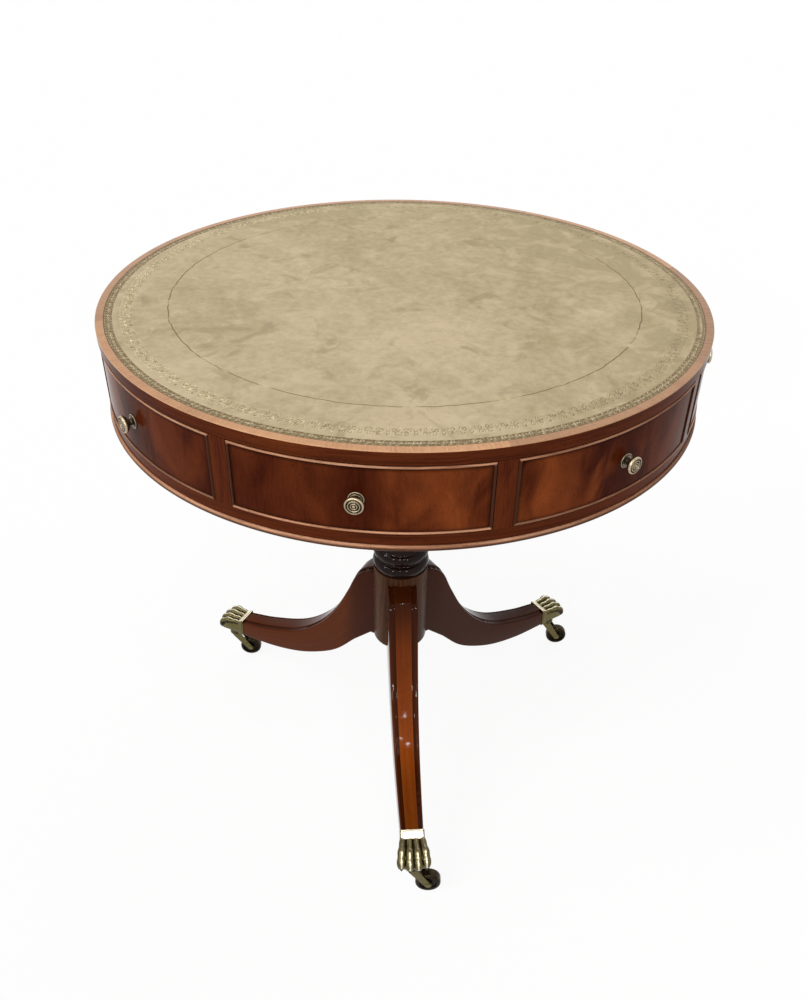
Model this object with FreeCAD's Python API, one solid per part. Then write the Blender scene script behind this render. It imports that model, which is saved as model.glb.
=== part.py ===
# Revolving drum table. A round drum with a leather writing surface holds four drawers and, between
# them, four dummy fronts. It turns on a spindle in a turned column, which stands on three sabre legs
# with brass paw caps and castors. Millimetres, +Z up, origin on the floor under the column's axis.
# The drawers slide out along -Y, +X, +Y and -X.
import FreeCAD, Part
import math
import os
from FreeCAD import Vector

os.makedirs("parts", exist_ok=True)

# Drum heights, from the writing surface down
table_height = 758.0
covering_thickness = 1.2
top_board_thickness = 10.3
upper_rail_height = 5.5
opening_height = 79.7
lower_rail_height = 12.8
base_bead_height = 6.5

# Drum radii and widths
top_radius = 369.0
top_overhang = 2.0
base_bead_projection = 3.0
rail_width = 23.0
stile_width = 20.3
stile_depth = 30.0
crossband_width = 9.2
bottom_board_thickness = 14.0

# Fronts, alike on drawers and dummies, and the cock beads let into their edges
drawer_count = 4
front_setback = 0.4
front_edge_thickness = 16.0
front_gap = 0.6
cock_bead_width = 3.0
cock_bead_depth = 7.0
mitre_margin = 1.0

# Drawer boxes behind the fronts
drawer_corner_gap = 7.7
drawer_top_gap = 9.5
drawer_side_gap = 1.8
drawer_side_thickness = 9.0
drawer_back_thickness = 9.0
drawer_back_drop = 8.0
drawer_bottom_thickness = 5.0
drawer_bottom_rise = 5.0
groove_depth = 4.0
tail_count = 3
tail_length = 8.0
tail_root_height = 11.0
tail_flare = 2.0

# What guides the drawers inside the drum
runner_thickness = 4.2
runner_width = 13.0
guide_gap = 0.8
guide_width = 11.0
guide_height = 24.0
kicker_gap = 1.5
stop_width = 40.0
stop_length = 10.0
stop_height = 20.0
inner_margin = 2.0

# Knobs: a rose against the front, and a ringed knob on a shank with a sunk nut
rose_radius = 8.4
rose_thickness = 2.2
knob_radius = 9.8
knob_neck_radius = 3.6
knob_neck_length = 3.4
knob_head_thickness = 8.6
knob_shoulder_radius = 7.0
knob_shoulder_rise = 0.6
knob_ring_depth = 0.9
shank_radius = 2.5
nut_height = 4.0
nut_half_width = 4.5
nut_pocket_radius = 7.5
nut_pocket_depth = 6.0

# Pivot between the pedestal and the drum
spindle_radius = 12.0
spindle_in_column = 80.0
spindle_tip = 6.0
pivot_block_width = 150.0
pivot_block_height = 40.0
bush_wall = 4.0
bush_flange_radius = 24.0
bush_flange_thickness = 3.0
retainer_radius = 26.0
retainer_thickness = 2.5
spindle_nut_half_width = 18.0
spindle_nut_height = 16.0
thrust_washer_radius = 95.0
thrust_washer_bore = 30.0
thrust_washer_thickness = 2.0
plate_radius = 115.0
plate_thickness = 24.0
plate_edge_round = 6.0

# Turned column: a plain block for the legs, two rings, then a vase that rises to a collar
block_radius = 41.0
block_bottom = 187.0
block_top = 329.5
block_end_round = 6.0
ring_radius = 42.0
ring_height = 18.0
ring_neck_radius = 37.5
ring_neck_height = 4.0
ring_neck_hollow = 1.2
vase_foot_radius = 30.0
vase_radius = 43.0
vase_neck_radius = 26.0
collar_radius = 46.0
collar_height = 16.0
collar_flare_share = 0.4

# Sabre legs
leg_count = 3
front_leg_angle = -79.0
leg_end_radius = 298.0
leg_top_height = 316.5
leg_end_top = 96.0
leg_end_bottom = 64.0
leg_width_at_column = 45.0
leg_width_at_paw = 32.0
leg_band_share = 0.56
leg_band_height = 2.5
leg_under_slope = 44.0
leg_under_straight = 42.0
dovetail_root_width = 14.0
dovetail_width = 19.0
dovetail_length = 14.0
dovetail_height = 112.0

# Tie plate under the column and legs
tie_thickness = 3.0
tie_width = 20.0
tie_hub_radius = 30.0
tie_arm_length = 36.0

# Brass paws, with the leg's tenon in a socket
paw_collar_length = 13.0
paw_lip = 1.2
paw_toe_reach = 53.0
paw_toe_width = 11.6
paw_toe_count = 4
paw_outer_toe_setback = 3.5
paw_groove_start = 0.4
paw_groove_depth = 3.5
paw_knuckle_drop = 1.5
paw_sole_rise = 3.0
paw_boss_radius = 12.0
paw_boss_drop = 6.5
socket_wall = 3.0
socket_depth = 15.0

# Castors
swivel_reach = 26.0
castor_trail = 22.0
castor_trail_angle = 6.8
wheel_radius = 18.0
wheel_width = 15.0
wheel_edge_round = 4.0
wheel_dish_depth = 2.0
wheel_dish_inner = 6.0
wheel_dish_outer = 12.5
axle_radius = 2.0
axle_head_radius = 3.6
axle_head_height = 1.2
horn_cheek = 2.4
horn_side_gap = 0.6
horn_crown_height = 6.0
horn_crown_radius = 12.5
horn_eye_radius = 4.8
stem_radius = 4.0
stem_cover = 14.0

# Screws
screw_radius = 2.2
screw_head_radius = 4.6
screw_head_height = 3.0
plate_screw_circle = 34.0
plate_screw_bite = 9.0
block_screw_inset = 14.0
block_screw_into_board = 10.0
tie_screw_length = 22.0

# Clearances
glue_line = 0.1
running_gap = 0.3

# Levels and distances that follow from the sizes
front_pitch = 360.0 / (2 * drawer_count)
drum_radius = top_radius - top_overhang
rail_inner_radius = drum_radius - rail_width
z_covering = table_height - covering_thickness
z_board = z_covering - top_board_thickness
z_opening_top = z_board - upper_rail_height
z_opening_bottom = z_opening_top - opening_height
z_lower_rail = z_opening_bottom - lower_rail_height
z_drum_bottom = z_lower_rail - base_bead_height
z_floor = z_opening_bottom - runner_thickness
z_washer_top = z_floor - bottom_board_thickness
z_plate_top = z_washer_top - thrust_washer_thickness
z_column_top = z_plate_top - plate_thickness
opening_half = drum_radius * math.sin(math.radians(front_pitch) / 2 - stile_width / drum_radius / 2)
front_half = opening_half - front_gap
face_radius = drum_radius - front_setback
face_edge = math.sqrt(face_radius ** 2 - front_half ** 2)
front_back = face_edge - front_edge_thickness
z_front_bottom = z_opening_bottom + front_gap
z_front_top = z_opening_top - front_gap
z_knob = (z_front_bottom + z_front_top) / 2
side_outer = opening_half - drawer_side_gap
drawer_back = side_outer + drawer_corner_gap
side_inner = side_outer - drawer_side_thickness
z_side_bottom = z_opening_bottom + running_gap
z_side_top = z_opening_top - drawer_top_gap
z_bottom_panel = z_side_bottom + drawer_bottom_rise
z_bottom_top = z_bottom_panel + drawer_bottom_thickness
bush_bore = spindle_radius + running_gap
bush_radius = bush_bore + bush_wall
z_block_top = z_floor + pivot_block_height
z_bush_top = z_block_top + bush_flange_thickness
z_retainer = z_bush_top + running_gap
z_spindle_nut = z_retainer + retainer_thickness
z_spindle_top = z_spindle_nut + spindle_nut_height + spindle_tip
leg_pitch = 360.0 / leg_count
up = Vector(0, 0, 1)
origin = Vector(0, 0, 0)

nodes = {}


def box(x0, x1, y0, y1, z0, z1):
    """A box between two corners."""
    return Part.makeBox(x1 - x0, y1 - y0, z1 - z0, Vector(x0, y0, z0))


def rod(radius, z0, z1, x=0.0, y=0.0):
    """An upright cylinder."""
    return Part.makeCylinder(radius, z1 - z0, Vector(x, y, z0))


def tube(inner, outer, z0, z1):
    """An upright ring about the column's axis."""
    return rod(outer, z0, z1).cut(rod(inner, z0, z1))


def face_of(points):
    """A flat face with straight sides through the points."""
    return Part.Face(Part.makePolygon(points + points[:1]))


def face_of_edges(edges):
    """A flat face inside a closed chain of curves."""
    return Part.Face(Part.Wire([edge.toShape() for edge in edges]))


def upright(r, z):
    """A point of a side view: distance from the axis, and height."""
    return Vector(r, 0, z)


def line(a, b):
    """A straight edge."""
    return Part.LineSegment(a, b)


def arc(a, b, c):
    """A circular edge through three points."""
    return Part.Arc(a, b, c)


def curve(points):
    """A smooth edge through the points."""
    spline = Part.BSplineCurve()
    spline.interpolate(points)
    return spline


def turned(shape, angle, centre=origin):
    """A copy turned about an upright axis."""
    copy = shape.copy()
    copy.rotate(centre, up, angle)
    return copy


def around(shape, count, first=0.0):
    """Copies of a shape, evenly spaced about the column's axis."""
    return [turned(shape, first + step * 360.0 / count) for step in range(count)]


def lathe(face):
    """A face of the side view turned into a full round."""
    return face.revolve(origin, up, 360)


def ring_segments(face):
    """A ring in curved segments that meet at the middle of each stile."""
    segment = face.revolve(origin, up, front_pitch)
    return around(segment, 2 * drawer_count, front_pitch / 2)


def hexagon(half_width, bore, z0, z1):
    """A hexagon nut about the upright axis through the origin."""
    corner = half_width / math.cos(math.pi / 6)
    corners = []
    for step in range(6):
        angle = math.radians(60 * step)
        corners.append(Vector(corner * math.cos(angle), corner * math.sin(angle), z0))
    return face_of(corners).extrude(Vector(0, 0, z1 - z0)).cut(rod(bore, z0, z1))


def countersunk(length, play=0.0):
    """A screw pointing down from the origin, with its head flush there. Play widens it into its hole."""
    head = Part.makeCone(screw_radius + play, screw_head_radius + play, screw_head_height,
                         Vector(0, 0, -screw_head_height))
    return head.fuse(rod(screw_radius + play, -length - play, 0))


def dome_screw(length, play=0.0):
    """A screw pointing down from the origin, with a domed head above it."""
    bulge = (screw_head_radius ** 2 + screw_head_height ** 2) / (2 * screw_head_height)
    dome = Part.makeSphere(bulge, Vector(0, 0, screw_head_height - bulge))
    head = dome.common(rod(2 * bulge, 0, screw_head_height))
    return head.fuse(rod(screw_radius + play, -length - play, screw_head_height / 2))


# The top: leather inside a crossband, both laid on the top board
leather_radius = top_radius - crossband_width
nodes["top_board"] = [rod(top_radius, z_board, z_covering)]
nodes["leather_top"] = [rod(leather_radius - glue_line, z_covering, table_height)]
crossband_face = face_of([upright(leather_radius, z_covering), upright(top_radius, z_covering),
                          upright(top_radius, table_height), upright(leather_radius, table_height)])
nodes["top_crossband"] = ring_segments(crossband_face)

# Rails, each built up of curved segments, and the half-round bead under the lower one
upper_rail_face = face_of([upright(rail_inner_radius, z_opening_top), upright(drum_radius, z_opening_top),
                           upright(drum_radius, z_board), upright(rail_inner_radius, z_board)])
nodes["upper_rail"] = ring_segments(upper_rail_face)
lower_rail_face = face_of([upright(rail_inner_radius, z_lower_rail), upright(drum_radius, z_lower_rail),
                           upright(drum_radius, z_opening_bottom),
                           upright(rail_inner_radius, z_opening_bottom)])
nodes["lower_rail"] = ring_segments(lower_rail_face)
bead_nose = drum_radius + base_bead_projection
bead_flat = bead_nose - base_bead_height / 2
bead_middle = (z_drum_bottom + z_lower_rail) / 2
base_bead_face = face_of_edges([
    line(upright(rail_inner_radius, z_drum_bottom), upright(bead_flat, z_drum_bottom)),
    arc(upright(bead_flat, z_drum_bottom), upright(bead_nose, bead_middle), upright(bead_flat, z_lower_rail)),
    line(upright(bead_flat, z_lower_rail), upright(rail_inner_radius, z_lower_rail)),
    line(upright(rail_inner_radius, z_lower_rail), upright(rail_inner_radius, z_drum_bottom))])
nodes["base_bead"] = ring_segments(base_bead_face)

# Stiles: what is left of a ring between the eight openings
stile_ring = tube(drum_radius - stile_depth, drum_radius, z_opening_bottom, z_opening_top)
opening = box(-opening_half, opening_half, -top_radius, 0, z_opening_bottom, z_opening_top)
nodes["drum_stiles"] = stile_ring.cut(around(opening, 2 * drawer_count)).Solids

# Bottom board and pivot block, with the bush that turns on the spindle
bush_hole = rod(bush_radius + glue_line, z_washer_top, z_block_top)
block_half = pivot_block_width / 2
block_screw_place = block_half - block_screw_inset
block_screw_length = pivot_block_height + block_screw_into_board
block_screw_angles = [90.0 * step for step in range(4)]
block_screws = []
block_screw_holes = []
for angle in block_screw_angles:
    place = Vector(block_screw_place, block_screw_place, z_block_top)
    screw = dome_screw(block_screw_length)
    screw.translate(place)
    block_screws.append(turned(screw, angle))
    hole = dome_screw(block_screw_length, glue_line)
    hole.translate(place)
    block_screw_holes.append(turned(hole, angle))
bottom_board = rod(rail_inner_radius - glue_line, z_washer_top, z_floor)
nodes["bottom_board"] = [bottom_board.cut([bush_hole] + block_screw_holes)]
pivot_block = box(-block_half, block_half, -block_half, block_half, z_floor, z_block_top)
nodes["pivot_block"] = [pivot_block.cut([bush_hole] + block_screw_holes)]
nodes["pivot_block_screws"] = block_screws
pivot_bush = tube(bush_bore, bush_radius, z_washer_top, z_block_top)
bush_flange = tube(bush_bore, bush_flange_radius, z_block_top, z_bush_top)
nodes["pivot_bush"] = [pivot_bush.fuse(bush_flange).removeSplitter()]

# Runners under the drawer sides, guides beside them, kickers over them and stops behind
runner_inner = side_outer - runner_width
runner_end = math.sqrt((rail_inner_radius - inner_margin) ** 2 - side_outer ** 2)
guide_inner = side_outer + guide_gap
guide_outer = guide_inner + guide_width
guide_end = math.sqrt((drum_radius - stile_depth - inner_margin) ** 2 - guide_outer ** 2)
stop_face = drawer_back - running_gap
runner = box(runner_inner, side_outer, -runner_end, -drawer_back, z_floor, z_opening_bottom)
guide = box(guide_inner, guide_outer, -guide_end, -guide_outer - inner_margin,
            z_floor, z_floor + guide_height)
kicker = box(side_inner, side_outer, -runner_end, -drawer_back, z_side_top + kicker_gap, z_board)
stop = box(-stop_width / 2, stop_width / 2, -stop_face, -stop_face + stop_length,
           z_floor, z_floor + stop_height)


def both_sides(shape):
    """A piece at the right of the drawer on -Y, its mirror at the left, and the same at every drawer."""
    return around(shape, drawer_count) + around(shape.mirror(origin, Vector(1, 0, 0)), drawer_count)


nodes["drawer_runners"] = both_sides(runner)
nodes["drawer_guides"] = both_sides(guide)
nodes["drawer_kickers"] = both_sides(kicker)
nodes["drawer_stops"] = around(stop, drawer_count)


def cock_beads():
    """Four mitred strips with round noses round the front on -Y: top, bottom, right and left."""
    nose = cock_bead_width / 2
    inside_half = front_half - cock_bead_width
    z_inside_top = z_front_top - cock_bead_width
    z_inside_bottom = z_front_bottom + cock_bead_width
    bead_back = face_radius - cock_bead_depth + glue_line
    sweep = 2 * math.degrees(math.asin(front_half / bead_back)) + mitre_margin
    strips = []
    for z0, z_outer, z_inner in ((z_inside_top, z_front_top, z_inside_top),
                                 (z_front_bottom, z_front_bottom, z_inside_bottom)):
        z1 = z0 + cock_bead_width
        section = face_of_edges([
            line(upright(bead_back, z0), upright(face_radius, z0)),
            arc(upright(face_radius, z0), upright(face_radius + nose, z0 + nose), upright(face_radius, z1)),
            line(upright(face_radius, z1), upright(bead_back, z1)),
            line(upright(bead_back, z1), upright(bead_back, z0))])
        bowed = turned(section.revolve(origin, up, sweep), -90 - sweep / 2)
        mitre = face_of([Vector(-front_half, 0, z_outer), Vector(front_half, 0, z_outer),
                         Vector(inside_half, 0, z_inner), Vector(-inside_half, 0, z_inner)])
        strips.append(bowed.common(mitre.extrude(Vector(0, -2 * top_radius, 0))))
    nose_y = math.sqrt(face_radius ** 2 - (front_half - nose) ** 2)
    back_y = nose_y - cock_bead_depth + glue_line
    strip = box(inside_half, front_half, -nose_y, -back_y, z_front_bottom, z_front_top)
    strip = strip.fuse(rod(nose, z_front_bottom, z_front_top, front_half - nose, -nose_y)).removeSplitter()
    mitre = face_of([Vector(front_half, 0, z_front_bottom), Vector(front_half, 0, z_front_top),
                     Vector(inside_half, 0, z_inside_top), Vector(inside_half, 0, z_inside_bottom)])
    strip = strip.common(mitre.extrude(Vector(0, -2 * top_radius, 0)))
    return strips + [strip, strip.mirror(origin, Vector(1, 0, 0))]


def bowed_front(z_bottom):
    """The front on -Y: bowed outside, flat inside, rebated for its beads and bored for its knob."""
    nose = cock_bead_width / 2
    front = rod(face_radius, z_bottom, z_front_top)
    front = front.common(box(-front_half, front_half, -top_radius, -front_back, z_bottom, z_front_top))
    rebate_back = face_radius - cock_bead_depth
    nose_y = math.sqrt(face_radius ** 2 - (front_half - nose) ** 2)
    side_rebate = box(front_half - cock_bead_width, top_radius, -top_radius, -nose_y + cock_bead_depth,
                      z_bottom, z_front_top)
    rebates = [tube(rebate_back, top_radius, z_front_top - cock_bead_width, z_front_top),
               tube(rebate_back, top_radius, z_bottom, z_front_bottom + cock_bead_width),
               side_rebate, side_rebate.mirror(origin, Vector(1, 0, 0))]
    inward = Vector(0, 1, 0)
    bore = Part.makeCylinder(shank_radius + glue_line, face_radius, Vector(0, -face_radius, z_knob), inward)
    pocket = Part.makeCylinder(nut_pocket_radius, nut_pocket_depth, Vector(0, -front_back, z_knob), -inward)
    return front.cut(rebates + [bore, pocket])


def knob_set():
    """Rose, ringed knob with its shank, and nut, for the front on -Y. Turned about Z, then laid on -Y."""
    neck_end = rose_thickness + knob_neck_length
    knob_end = neck_end + knob_head_thickness
    shank_end = front_back - face_radius + nut_pocket_depth - nut_height
    edge = rose_thickness / 2
    rose = lathe(face_of_edges([
        line(upright(shank_radius + glue_line, 0), upright(rose_radius, 0)),
        arc(upright(rose_radius, 0), upright(rose_radius - edge / 4, edge),
            upright(rose_radius - edge, rose_thickness)),
        line(upright(rose_radius - edge, rose_thickness), upright(shank_radius + glue_line, rose_thickness)),
        line(upright(shank_radius + glue_line, rose_thickness), upright(shank_radius + glue_line, 0))]))
    ring_width = knob_radius / 4
    rim = knob_end - knob_head_thickness / 3
    shoulder = (neck_end + rim) / 2 + knob_shoulder_rise
    boss = ring_width - knob_ring_depth
    corner = knob_ring_depth * math.sqrt(0.5)
    knob = lathe(face_of_edges([
        line(upright(0, shank_end), upright(shank_radius, shank_end)),
        line(upright(shank_radius, shank_end), upright(shank_radius, rose_thickness)),
        line(upright(shank_radius, rose_thickness), upright(knob_neck_radius, rose_thickness)),
        line(upright(knob_neck_radius, rose_thickness), upright(knob_neck_radius, neck_end)),
        arc(upright(knob_neck_radius, neck_end), upright(knob_shoulder_radius, shoulder),
            upright(knob_radius, rim)),
        arc(upright(knob_radius, rim), upright(knob_radius - ring_width / 3, knob_end - knob_ring_depth),
            upright(3 * ring_width, knob_end - knob_ring_depth)),
        arc(upright(3 * ring_width, knob_end - knob_ring_depth), upright(2.5 * ring_width, knob_end),
            upright(2 * ring_width, knob_end - knob_ring_depth)),
        line(upright(2 * ring_width, knob_end - knob_ring_depth),
             upright(ring_width, knob_end - knob_ring_depth)),
        arc(upright(ring_width, knob_end - knob_ring_depth),
            upright(boss + corner, knob_end - knob_ring_depth + corner), upright(boss, knob_end)),
        line(upright(boss, knob_end), upright(0, knob_end)),
        line(upright(0, knob_end), upright(0, shank_end))]))
    nut = hexagon(nut_half_width, shank_radius + glue_line, shank_end, shank_end + nut_height)
    laid = []
    for piece in (rose, knob, nut):
        piece.rotate(origin, Vector(1, 0, 0), 90)
        piece.translate(Vector(0, -face_radius, z_knob))
        laid.append(piece)
    return laid


def drawer_side():
    """The right side of the drawer on -Y, grooved for the bottom, with dovetails on its front end."""
    side = box(side_inner, side_outer, -front_back, -drawer_back, z_side_bottom, z_side_top)
    groove = box(side_inner, side_inner + groove_depth, -front_back, -drawer_back,
                 z_bottom_panel - glue_line, z_bottom_top + glue_line)
    pitch = (z_side_top - z_bottom_top) / tail_count
    tails = []
    for step in range(tail_count):
        middle = z_side_top - pitch * (step + 0.5)
        root = tail_root_height / 2
        tip = root + tail_flare
        tail = face_of([Vector(side_inner, -front_back, middle - root),
                        Vector(side_inner, -front_back, middle + root),
                        Vector(side_inner, -front_back - tail_length, middle + tip),
                        Vector(side_inner, -front_back - tail_length, middle - tip)])
        tails.append(tail.extrude(Vector(drawer_side_thickness, 0, 0)))
    return side.cut(groove).fuse(tails).removeSplitter(), tails


# Drawers: each is a bowed front, two dovetailed sides and a back, a bottom in grooves, beads and a knob
right_side, right_tails = drawer_side()
left_side = right_side.mirror(origin, Vector(1, 0, 0))
tail_sockets = right_tails + [tail.mirror(origin, Vector(1, 0, 0)) for tail in right_tails]
panel_half = side_inner + groove_depth - glue_line
panel_front = front_back + groove_depth - glue_line
front_groove = box(-panel_half - glue_line, panel_half + glue_line, -panel_front - glue_line, -front_back,
                   z_bottom_panel - glue_line, z_bottom_top + glue_line)
drawer_front = bowed_front(z_front_bottom).cut(tail_sockets + [front_groove])
drawer_bottom = box(-panel_half, panel_half, -panel_front, -drawer_back, z_bottom_panel, z_bottom_top)
back_board = box(-side_inner, side_inner, -drawer_back - drawer_back_thickness, -drawer_back,
                 z_bottom_top, z_side_top - drawer_back_drop)
for step in range(drawer_count):
    name = "drawer_%d_" % (step + 1)
    angle = step * 360.0 / drawer_count
    nodes[name + "front"] = [turned(drawer_front, angle)]
    nodes[name + "carcase"] = [turned(piece, angle) for piece in (left_side, right_side, back_board)]
    nodes[name + "bottom"] = [turned(drawer_bottom, angle)]
    nodes[name + "cock_beads"] = [turned(strip, angle) for strip in cock_beads()]
    nodes[name + "knob"] = [turned(piece, angle) for piece in knob_set()]

# Dummy fronts stand on the lower rail between the drawers, with the same beads and knobs
dummy_front = bowed_front(z_opening_bottom)
nodes["dummy_fronts"] = around(dummy_front, drawer_count, front_pitch)
nodes["dummy_cock_beads"] = []
for strip in cock_beads():
    nodes["dummy_cock_beads"] += around(strip, drawer_count, front_pitch)
nodes["dummy_knobs"] = []
for piece in knob_set():
    nodes["dummy_knobs"] += around(piece, drawer_count, front_pitch)

# Spindle, with the washer and nut that keep the drum on it, and the thrust washer that carries the drum
nodes["pivot_spindle"] = [rod(spindle_radius, z_column_top - spindle_in_column, z_spindle_top)]
nodes["thrust_washer"] = [tube(thrust_washer_bore, thrust_washer_radius, z_plate_top, z_washer_top)]
nodes["spindle_washer"] = [tube(spindle_radius + glue_line, retainer_radius, z_retainer, z_spindle_nut)]
nodes["spindle_nut"] = [hexagon(spindle_nut_half_width, spindle_radius + glue_line, z_spindle_nut,
                                z_spindle_nut + spindle_nut_height)]

# Round bearing plate on the head of the column, held by flush screws
plate_flat = plate_radius - plate_edge_round
plate_round = plate_edge_round * (1 - math.sqrt(0.5))
bearing_plate = lathe(face_of_edges([
    line(upright(0, z_column_top), upright(plate_flat, z_column_top)),
    arc(upright(plate_flat, z_column_top), upright(plate_radius - plate_round, z_column_top + plate_round),
        upright(plate_radius, z_column_top + plate_edge_round)),
    line(upright(plate_radius, z_column_top + plate_edge_round), upright(plate_radius, z_plate_top)),
    line(upright(plate_radius, z_plate_top), upright(0, z_plate_top)),
    line(upright(0, z_plate_top), upright(0, z_column_top))]))
plate_screw_length = plate_thickness + plate_screw_bite
plate_screw = countersunk(plate_screw_length)
plate_screw.translate(Vector(plate_screw_circle, 0, z_plate_top))
plate_screw_hole = countersunk(plate_screw_length, glue_line)
plate_screw_hole.translate(Vector(plate_screw_circle, 0, z_plate_top))
plate_screw_holes = around(plate_screw_hole, leg_count, front_leg_angle)
spindle_hole = rod(spindle_radius + glue_line, z_column_top - spindle_in_column, z_plate_top)
nodes["bearing_plate"] = [bearing_plate.cut(plate_screw_holes + [spindle_hole])]
nodes["bearing_plate_screws"] = around(plate_screw, leg_count, front_leg_angle)

# Column: turned in one piece, with dovetail slots for the legs, open at the bottom
ring_1_top = block_top + ring_height
ring_2_bottom = ring_1_top + ring_neck_height
ring_2_top = ring_2_bottom + ring_height
collar_bottom = z_column_top - collar_height
vase_height = collar_bottom - ring_2_top
flare_radius = vase_neck_radius + (collar_radius - vase_neck_radius) * collar_flare_share
end_round = block_end_round * (1 - math.sqrt(0.5))
vase_shares = [(0.1, 0.0), (0.24, 0.27), (0.44, 1.0), (0.66, 0.62), (0.86, -0.05)]
vase_points = [upright(vase_foot_radius + (vase_radius - vase_foot_radius) * b, ring_2_top + vase_height * a)
               for a, b in vase_shares]
column_outline = [
    line(upright(0, block_bottom), upright(block_radius - block_end_round, block_bottom)),
    arc(upright(block_radius - block_end_round, block_bottom),
        upright(block_radius - end_round, block_bottom + end_round),
        upright(block_radius, block_bottom + block_end_round)),
    line(upright(block_radius, block_bottom + block_end_round), upright(block_radius, block_top)),
    line(upright(block_radius, block_top), upright(ring_neck_radius, block_top)),
    arc(upright(ring_neck_radius, block_top), upright(ring_radius, block_top + ring_height / 2),
        upright(ring_neck_radius, ring_1_top)),
    arc(upright(ring_neck_radius, ring_1_top),
        upright(ring_neck_radius - ring_neck_hollow, ring_1_top + ring_neck_height / 2),
        upright(ring_neck_radius, ring_2_bottom)),
    arc(upright(ring_neck_radius, ring_2_bottom), upright(ring_radius, ring_2_bottom + ring_height / 2),
        upright(ring_neck_radius, ring_2_top)),
    curve([upright(ring_neck_radius, ring_2_top)] + vase_points
          + [upright(vase_neck_radius, collar_bottom)]),
    arc(upright(vase_neck_radius, collar_bottom), upright(flare_radius, collar_bottom + collar_height / 4),
        upright(collar_radius, z_column_top - collar_height / 3)),
    line(upright(collar_radius, z_column_top - collar_height / 3), upright(collar_radius, z_column_top)),
    line(upright(collar_radius, z_column_top), upright(0, z_column_top)),
    line(upright(0, z_column_top), upright(0, block_bottom))]


def dovetail(play):
    """The leg's tongue, wider inside the column. Play widens it into its slot."""
    root = dovetail_root_width / 2 + play
    tip = dovetail_width / 2 + play
    inner = block_radius - dovetail_length - play
    outer = block_radius + glue_line
    outline = face_of([Vector(outer, -root, block_bottom), Vector(inner, -tip, block_bottom),
                       Vector(inner, tip, block_bottom), Vector(outer, root, block_bottom)])
    return outline.extrude(Vector(0, 0, dovetail_height + play))


column = lathe(face_of_edges(column_outline))
dovetail_slots = around(dovetail(glue_line), leg_count, front_leg_angle)
nodes["column"] = [column.cut(dovetail_slots + plate_screw_holes + [spindle_hole])]

# Sabre leg, drawn along +X: shares of its reach and of its drop give the curve of each edge
slope = math.radians(leg_under_slope)
leg_reach = leg_end_radius - block_radius
leg_drop = leg_top_height - leg_end_top
under_start = upright(block_radius + leg_under_straight * math.cos(slope),
                      block_bottom - leg_under_straight * math.sin(slope))
under_reach = leg_end_radius - under_start.x
under_drop = under_start.z - leg_end_bottom
upper_shares = [(0.0, 1.0), (0.093, 0.914), (0.162, 0.733), (0.262, 0.498), (0.397, 0.29), (0.572, 0.135),
                (0.808, 0.041), (1.0, 0.0)]
under_shares = [(0.0, 1.0), (0.15, 0.6), (0.31, 0.344), (0.51, 0.14), (0.75, 0.025), (1.0, 0.0)]
upper_points = [upright(block_radius + leg_reach * a, leg_end_top + leg_drop * b) for a, b in upper_shares]
under_points = [upright(under_start.x + under_reach * a, leg_end_bottom + under_drop * b)
                for a, b in under_shares]


def sunk(points, depth):
    """The upper edge moved into the leg, square to its own direction. Its ends stay on their own planes."""
    moved = []
    for step, point in enumerate(points):
        before = points[max(step - 1, 0)]
        after = points[min(step + 1, len(points) - 1)]
        along = (after - before).normalize()
        moved.append(point + Vector(along.z, 0, -along.x) * depth)
    moved[0].x = points[0].x
    moved[-1].x = points[-1].x
    return moved


def leg_slab(upper, half_width):
    """The side view of the leg between an upper edge and the underside, as thick as the leg is wide."""
    heel = upright(0, block_bottom)
    crown = upright(0, upper[0].z)
    side_view = face_of_edges([
        line(heel, upright(block_radius, block_bottom)),
        line(upright(block_radius, block_bottom), under_start),
        curve(under_points),
        line(under_points[-1], upper[-1]),
        curve(list(reversed(upper))),
        line(upper[0], crown),
        line(crown, heel)])
    slab = side_view.extrude(Vector(0, 2 * half_width, 0))
    slab.translate(Vector(0, -half_width, 0))
    return slab


def leg_plan(share):
    """The tapering plan of the leg, or of the band along it, from the floor to above the leg."""
    root = leg_width_at_column / 2 * share
    tip = leg_width_at_paw / 2 * share
    plan = face_of([Vector(block_radius, -root, 0), Vector(leg_end_radius, -tip, 0),
                    Vector(leg_end_radius, tip, 0), Vector(block_radius, root, 0),
                    Vector(0, root, 0), Vector(0, -root, 0)])
    return plan.extrude(Vector(0, 0, table_height))


tenon_half = leg_width_at_paw / 2 - socket_wall
z_tenon_bottom = leg_end_bottom + socket_wall
z_tenon_top = leg_end_top - leg_band_height - socket_wall
tenon = box(leg_end_radius, leg_end_radius + socket_depth - glue_line, -tenon_half, tenon_half,
            z_tenon_bottom, z_tenon_top)
shoulder_slab = leg_slab(sunk(upper_points, leg_band_height), leg_width_at_column)
band_slab = leg_slab(upper_points, leg_width_at_column)
leg = shoulder_slab.common(leg_plan(1.0)).fuse(band_slab.common(leg_plan(leg_band_share)))
leg = leg.cut(rod(block_radius + glue_line, 0, table_height))
leg = leg.fuse([dovetail(0.0), tenon]).removeSplitter()

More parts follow.
